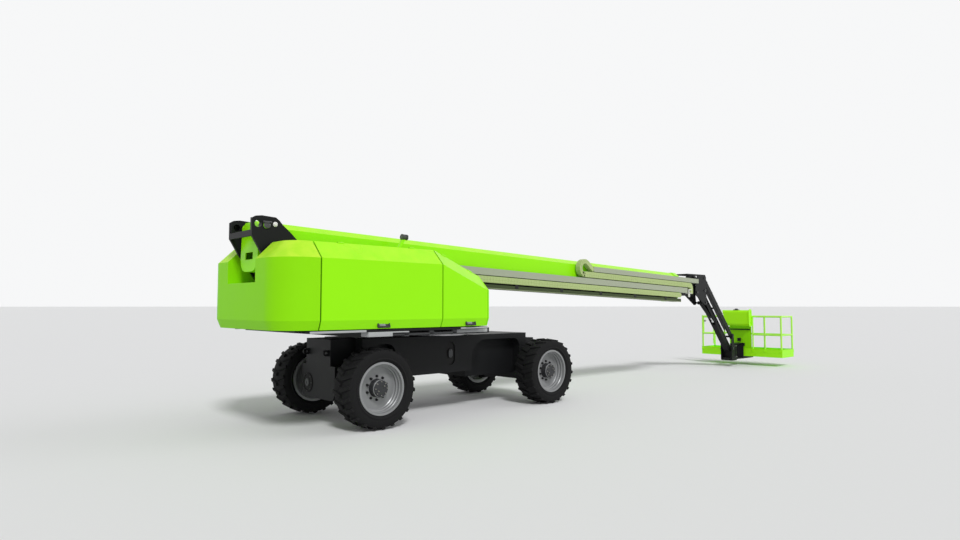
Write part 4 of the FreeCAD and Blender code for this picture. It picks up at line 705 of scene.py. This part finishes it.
for piece, name, finish, slot in ((lift_gland, "lift_cylinder_gland", hub_iron, "dark_paint"),
                                  (gland_screws, "lift_gland_screws", zinc, "bare_steel"),
                                  (valve, "lift_holding_valve", zinc, "bare_steel"),
                                  (pipe, "lift_port_pipe", black_bolt, "dark_paint")):
    finished(piece, name, finish, "lift_barrel", along(lift_foot, lift_run))
keepers(0.045, lift_pin_x, lift_pin_z, 0.400, "lift_pin_keepers", "turntable")


# --- Jib ------------------------------------------------------------------------------------------------
# Charcoal box links of welded plate between a head that stays level on the boom's tip and the platform's
# bracket. Keeper plates hold every pin, and a short chrome cylinder under the arm raises it.
dress(charcoal, "jib_head", "jib_arm", "jib_links", "jib_barrel", "platform_bracket")
dress(chrome, "jib_rod")
arm_x, arm_z = 9.360, 2.1595
foot_x, foot_z = 10.9495, 0.5193
ram_x, ram_z = 9.420, 1.8295
link_rise = 0.340
link_offset = 0.124
head_pins = ((0.032, arm_x, arm_z), (0.026, arm_x, arm_z + link_rise), (0.025, ram_x, ram_z))
foot_pins = ((0.032, foot_x, foot_z), (0.026, foot_x, foot_z + link_rise))
for name, body, pins in (("jib_head_keepers_", "jib_head", head_pins),
                         ("jib_foot_keepers_", "platform_bracket", foot_pins)):
    for number, (radius, x, z) in enumerate(pins, 1):
        keepers(radius, x, z, 0.180, name + str(number), body)
keepers(0.032, 8.950, 2.1095, 0.184, "level_pin_keepers", "jib_head")

# Two steel pipes to the rotary actuator lie clamped along the top of the right-hand link.
jib_run = Vector((foot_x - arm_x, 0, foot_z - arm_z))
right_link = along((arm_x - origin_x, -link_offset, arm_z + link_rise), jib_run)
pipe_end = jib_run.length - 0.20
clamps = [block((-0.018, 0.0685, z - 0.02), (0.018, 0.092, z + 0.02), 0.003, 1)
          for z in (0.22, 0.62, 1.02, 1.42, 1.82)]
pipes = [turned([(0.0065, 0.15), (0.0065, pipe_end)], 10, shift(x, 0.080, 0)) for x in (-0.009, 0.009)]
finished(joined(clamps), "jib_pipe_clamps", black_bolt, "jib_links", right_link)
finished(joined(pipes), "jib_pipes", pin_face, "jib_links", right_link)

# Three hoses lie one above the other in clamps under each link, short of the pins that come near them.
hose_rubber = coat("hose_rubber", (0.012, 0.012, 0.013), 0.60, grain=0.2)
hose_end = pipe_end - 0.22
for tag, side in sides:
    slung = [turned([(0.010, 0.24), (0.0165, 0.26), (0.0165, hose_end - 0.02), (0.010, hose_end)], 12,
                    shift(0, -depth, 0)) for depth in (0.0845, 0.1165, 0.1485)]
    slung += [block((-0.0185, -0.168, z - 0.015), (0.0185, -0.067, z + 0.015), 0.003, 1)
              for z in (0.34, 0.78, 1.22, 1.66)]
    finished(joined(slung), "jib_hoses_" + tag, hose_rubber, "jib_links",
             shift(0, (side + 1) * link_offset, 0) @ right_link)

# The jib cylinder's gland ring. Its rod's eye hangs under the arm, part of the way along.
arm_cos, arm_sin = 0.6959, 0.7181
eye_reach, eye_drop = 1.150, 0.030
ram_foot = Vector((ram_x - origin_x, 0, ram_z))
ram_eye = Vector((arm_x - origin_x + eye_reach * arm_cos - eye_drop * arm_sin, 0,
                  arm_z - eye_reach * arm_sin - eye_drop * arm_cos))
ram_run = ram_eye - ram_foot
ram_mouth = ram_run.length - 0.200
ram_gland = turned([(0.0455, ram_mouth - 0.060), (0.0515, ram_mouth - 0.057), (0.0515, ram_mouth - 0.003),
                    (0.046, ram_mouth + 0.003), (0.031, ram_mouth + 0.003), (0.0285, ram_mouth + 0.008)], 32)
finished(ram_gland, "jib_cylinder_gland", hub_iron, "jib_barrel", along(ram_foot, ram_run))

# The rotary actuator has a band round each end, each held by a ring of screws.
actuator = at(11.3295, 0, 0)
low_end, high_end = 0.2143, 0.6193
band = ((0.0882, 0.020), (0.0935, 0.024), (0.0935, 0.062), (0.0882, 0.066))
bands = [turned([(radius, low_end + z) for radius, z in band], 40, actuator),
         turned([(radius, high_end - z) for radius, z in reversed(band)], 40, actuator)]
side_screws = [copied(gland_screw, actuator @ turn("Z", 15 + 30 * i) @ shift(0.093, 0, z) @ turn("Y", 90)
                      @ Matrix.Scale(0.75, 4))
               for i in range(12) for z in (low_end + 0.043, high_end - 0.043)]
finished(joined(bands), "actuator_bands", hub_iron, "platform_bracket")
finished(joined(side_screws), "actuator_screws", zinc, "platform_bracket")


# --- Platform -------------------------------------------------------------------------------------------
# Lime-painted round tube and folded sheet. The floor is chequered plate, the posts are bolted to the toe
# board through small feet, and the gate closes on a sliding bolt.
# The floor and toe board's lime is lighter than the covers' lime: painted light for their brighter faces. The
# dust on it is real.
tread = coat("lit_floor_tread", (0.38, 0.97, 0.006), 0.38, dust_and_sheen=0.2, grain=0.04,
             dust_and_sheen_colour=(0.35, 0.38, 0.22))
# The rails' lime is paler and less saturated than the covers' lime: a painted highlight for the sun's light
# lines along the round tubes.
highlit_rails_lime = coat("lime_rail_painted_highlight", (0.46, 0.95, 0.08), 0.30, grain=0.03, orange_peel=0.03, gleam=0.5)
# The platform's lime is lighter than the covers' lime: painted light, brightening its rear-facing faces
# beyond what the lamps give them.
lit_lime_paint = coat("lit_platform_lime", (0.40, 0.985, 0.006), 0.32, grain=0.015, orange_peel=0.03,
                   gleam=0.2)
tree = tread.node_tree
tread_place = node(tree, "TexCoord", {}).outputs["Object"]
chequer = node(tree, "TexVoronoi", {"Vector": tread_place, "Scale": 34.0}).outputs["Distance"]
studs = node(tree, "MapRange", {"Value": chequer, "From Min": 0.25, "From Max": 0.35,
                                "To Min": 1.0, "To Max": 0.0})
normal = node(tree, "NewGeometry", {}).outputs["Normal"]
upward = node(tree, "SeparateXYZ", {"Vector": normal}).outputs["Z"]
flat_only = node(tree, "Math", {0: upward, 1: studs.outputs["Result"]}, operation="MULTIPLY", use_clamp=True)
raised = node(tree, "Bump", {"Height": flat_only.outputs[0], "Strength": 0.7, "Distance": 0.003})
tree.links.new(raised.outputs["Normal"], tree.nodes["Principled BSDF"].inputs["Normal"])
dress(tread, "platform_floor")
dress(highlit_rails_lime, "platform_rails", "platform_gate")
dress(lit_lime_paint, "platform_console")
# The panel below the hood takes the darker casting lime: painted shade for a panel that lies in shadow.
dress(lime_cast, "platform_panel")
dress(charcoal, "platform_mount")

# Feet that bolt the posts to the toe board's outer face, and three folds in the toe board.
floor_low, floor_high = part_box("platform_floor")
rear_x, front_x = floor_low.x, floor_high.x
feet_z = floor_high.z - 0.060
foot_screw = bolt(0.017, 0.009)
feet = []
for x, out, posts in ((rear_x, -1, (0.4908, -0.3798, -0.730, 1.185, -1.185)),
                      (front_x, 1, (0.390, -0.390, 1.185, -1.185))):
    for y in posts:
        foot = joined([block((-0.033, -0.042, 0), (0.033, 0.042, 0.005), 0.002, 1)] +
                      [copied(foot_screw, shift(0, dy, 0.005)) for dy in (-0.022, 0.022)])
        foot.matrix_world = shift(x, y, feet_z) @ turn("Y", 90 * out)
        feet.append(foot)
finished(joined(feet), "post_feet", lit_lime_paint, "platform")
proud, fold = 0.004, 0.005
x0, x1 = rear_x - proud, front_x + proud
y0, y1 = floor_low.y - proud, floor_high.y + proud
folds = []
for z, depth in ((floor_low.z + 0.004, 0.010), (floor_high.z - 0.010, 0.010), (floor_low.z + 0.120, 0.006)):
    folds += [block((x0, y0, z), (x1, y0 + fold, z + depth), 0.002, 1),
              block((x0, y1 - fold, z), (x1, y1, z + depth), 0.002, 1),
              block((x0, y0, z), (x0 + fold, y1, z + depth), 0.002, 1),
              block((x1 - fold, y0, z), (x1, y1, z + depth), 0.002, 1)]
finished(joined(folds), "toe_board_folds", lit_lime_paint, "platform")

# Control box inside the rear rail: a sloping fascia with two joysticks in rubber gaiters, a row of rocker
# switches and a red stop button.
box_black = coat("control_box_enamel", (0.030, 0.031, 0.034), 0.45, grain=0.12, orange_peel=0.12)
gaiter_rubber = coat("gaiter_rubber", (0.012, 0.012, 0.012), 0.70, grain=0.15)
stop_red = coat("stop_button_plastic", (0.55, 0.012, 0.010), 0.35, grain=0.04)
box_spot = shift(rear_x + 0.108, 0.060, 1.060)
fascia = box_spot @ shift(0, 0, 0.034) @ turn("Y", math.degrees(math.atan2(0.055, 0.17)))
control = block((-0.085, -0.300, -0.075), (0.085, 0.300, 0.060), 0.008)
pick(control, "VERT", lambda v: v.co.x > 0 and v.co.z > 0)
bpy.ops.transform.translate(value=(0, 0, -0.055))
pick(control, "FACE", lambda f: f.normal.z > 0.7)
bpy.ops.mesh.inset(thickness=0.010, depth=-0.003)
finished(control, "control_box", box_black, "platform", box_spot)
sticks = [turned([(0.034, -0.004), (0.034, 0.004), (0.028, 0.010), (0.030, 0.015), (0.022, 0.021),
                  (0.024, 0.026), (0.015, 0.034), (0.008, 0.038), (0.007, 0.075), (0.015, 0.085),
                  (0.019, 0.105), (0.016, 0.125), (0.008, 0.134)], 20, fascia @ shift(0.005, y, 0))
          for y in (-0.190, 0.190)]
for i in range(6):
    rocker = block((-0.016, -0.009, -0.002), (0.016, 0.009, 0.008), 0.002, 1)
    pick(rocker, "VERT", lambda v: v.co.x > 0 and v.co.z > 0.004)
    bpy.ops.transform.translate(value=(0, 0, -0.005))
    leave_edit()
    rocker.matrix_world = fascia @ shift(0.010, -0.085 + 0.034 * i, 0)
    sticks.append(rocker)
finished(joined(sticks), "joysticks_and_switches", gaiter_rubber, "platform")
stop = turned([(0.013, -0.004), (0.013, 0.012), (0.020, 0.016), (0.021, 0.022), (0.017, 0.028),
               (0.006, 0.030)], 24)
finished(stop, "stop_button", stop_red, "platform", fascia @ shift(-0.030, 0.262, 0))

# A rolled sheet closes the hood's underside, lapped over the feet of its walls. Its left end leans out.
hood_foot, hood_lap, hood_roll = 1.1505, 1.2390, 0.078
underside = block((11.6185 - origin_x, -0.3445, hood_foot), (11.8055 - origin_x, 0.3200, hood_lap), 0.0)
pick(underside, "EDGE", lambda e: all(v.co.z < hood_foot + 0.01 for v in e.verts)
     and abs(e.verts[0].co.y - e.verts[1].co.y) > 0.5)
bpy.ops.mesh.bevel(offset=hood_roll, segments=8, affect="EDGES")
pick(underside, "FACE", lambda f: f.normal.z > 0.9)
bpy.ops.mesh.delete(type="FACE")
for z, y in ((hood_lap, 0.0280), (hood_foot + hood_roll, 0.0246)):
    pick(underside, "VERT", lambda v: v.co.y > 0.3 and abs(v.co.z - z) < 0.002)
    bpy.ops.transform.translate(value=(0, y, 0))
finished(underside, "hood_underside", lit_lime_paint, "platform")

# On the hood's top sits a sounder, and a foot switch under a sheet guard stands on the floor.
sounder = joined([block((-0.055, -0.075, 0), (0.055, 0.075, 0.020), 0.004, 1),
                  turned([(0.045, 0.018), (0.045, 0.034), (0.040, 0.046), (0.020, 0.050)], 24)])
finished(sounder, "hood_sounder", cap_grey, "platform", at(11.712, 0.060, 1.6190))
pedal = block((-0.075, -0.055, 0), (0.075, 0.055, 0.022), 0.004)
pick(pedal, "FACE", lambda f: f.normal.z > 0.9)
bpy.ops.mesh.inset(thickness=0.012, depth=0)
extrude(0, 0, 0.016)
bpy.ops.transform.resize(value=(0.85, 0.9, 1), center_override=(0, 0, 0))
guard = block((-0.085, -0.066, 0), (0.085, 0.066, 0.090), 0.010)
pick(guard, "FACE", lambda f: f.normal.x > 0.9 or f.normal.z < -0.9)
bpy.ops.mesh.delete(type="FACE")
leave_edit()
wall = guard.modifiers.new("wall", "SOLIDIFY")
wall.thickness = 0.003
wall.offset = -1
bpy.ops.object.modifier_apply(modifier="wall")
finished(joined([pedal, guard]), "foot_switch", box_black, "platform",
         shift(rear_x + 0.200, -0.020, floor_low.z + 0.0141))

# Brackets and a hose gland on the closed bay below the hood, facing the jib.
bay_face = rear_x + 0.0055
bay = [block((rear_x - 0.040, -0.140, 0.560), (bay_face, 0.110, 0.640), 0.006),
       block((rear_x - 0.030, -0.320, 1.030), (bay_face, 0.300, 1.060), 0.004),
       block((rear_x - 0.055, -0.030, 0.700), (bay_face, 0.060, 0.790), 0.006)]
bay += [copied(foot_screw, shift(rear_x - 0.040, y, 0.600) @ turn("Y", -90)) for y in (-0.10, 0.07)]
finished(joined(bay), "bay_brackets", charcoal, "platform")

# Gate latch: a plate with a sliding bolt and its knob on the stile.
gate_low, gate_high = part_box("platform_gate")
latch_x, latch_y, latch_z = gate_low.x + 0.021, 1.158, gate_high.z - 0.140
latch = joined([block((latch_x - 0.012, 1.165, latch_z - 0.035),
                      (latch_x + 0.070, 1.1755, latch_z + 0.035), 0.003, 1),
                turned([(0.008, -0.020), (0.008, 0.060), (0.006, 0.064)], 14,
                       shift(latch_x + 0.010, latch_y, latch_z) @ turn("Y", 90)),
                turned([(0.011, 0), (0.013, 0.010), (0.013, 0.022), (0.007, 0.030)], 16,
                       shift(latch_x + 0.050, latch_y, latch_z) @ turn("X", 90))])
finished(latch, "gate_latch", zinc, "platform_gate")

# Two welded anchor eyes for harness lines stand on the rear toe board's inner face.
eyes = []
for y in (0.720, -0.560):
    eye = turned([(0.030, -0.005), (0.030, 0.005), (0.016, 0.005), (0.016, -0.005)], 24)
    pick(eye, "FACE", lambda f: len(f.verts) > 8)
    bpy.ops.mesh.delete(type="FACE")
    pick(eye, "EDGE", lambda e: e.is_boundary)
    bpy.ops.mesh.bridge_edge_loops()
    face_outwards()
    leave_edit()
    eye.matrix_world = shift(rear_x + 0.0355, y, feet_z) @ turn("X", 90)
    eyes.append(eye)
finished(joined(eyes), "anchor_eyes", zinc, "platform")
discard(keeper_screw, gland_screw, foot_screw)


# --- Size -----------------------------------------------------------------------------------------------
# What the dressed machine measures, as its two opposite corners in metres.
low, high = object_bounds()
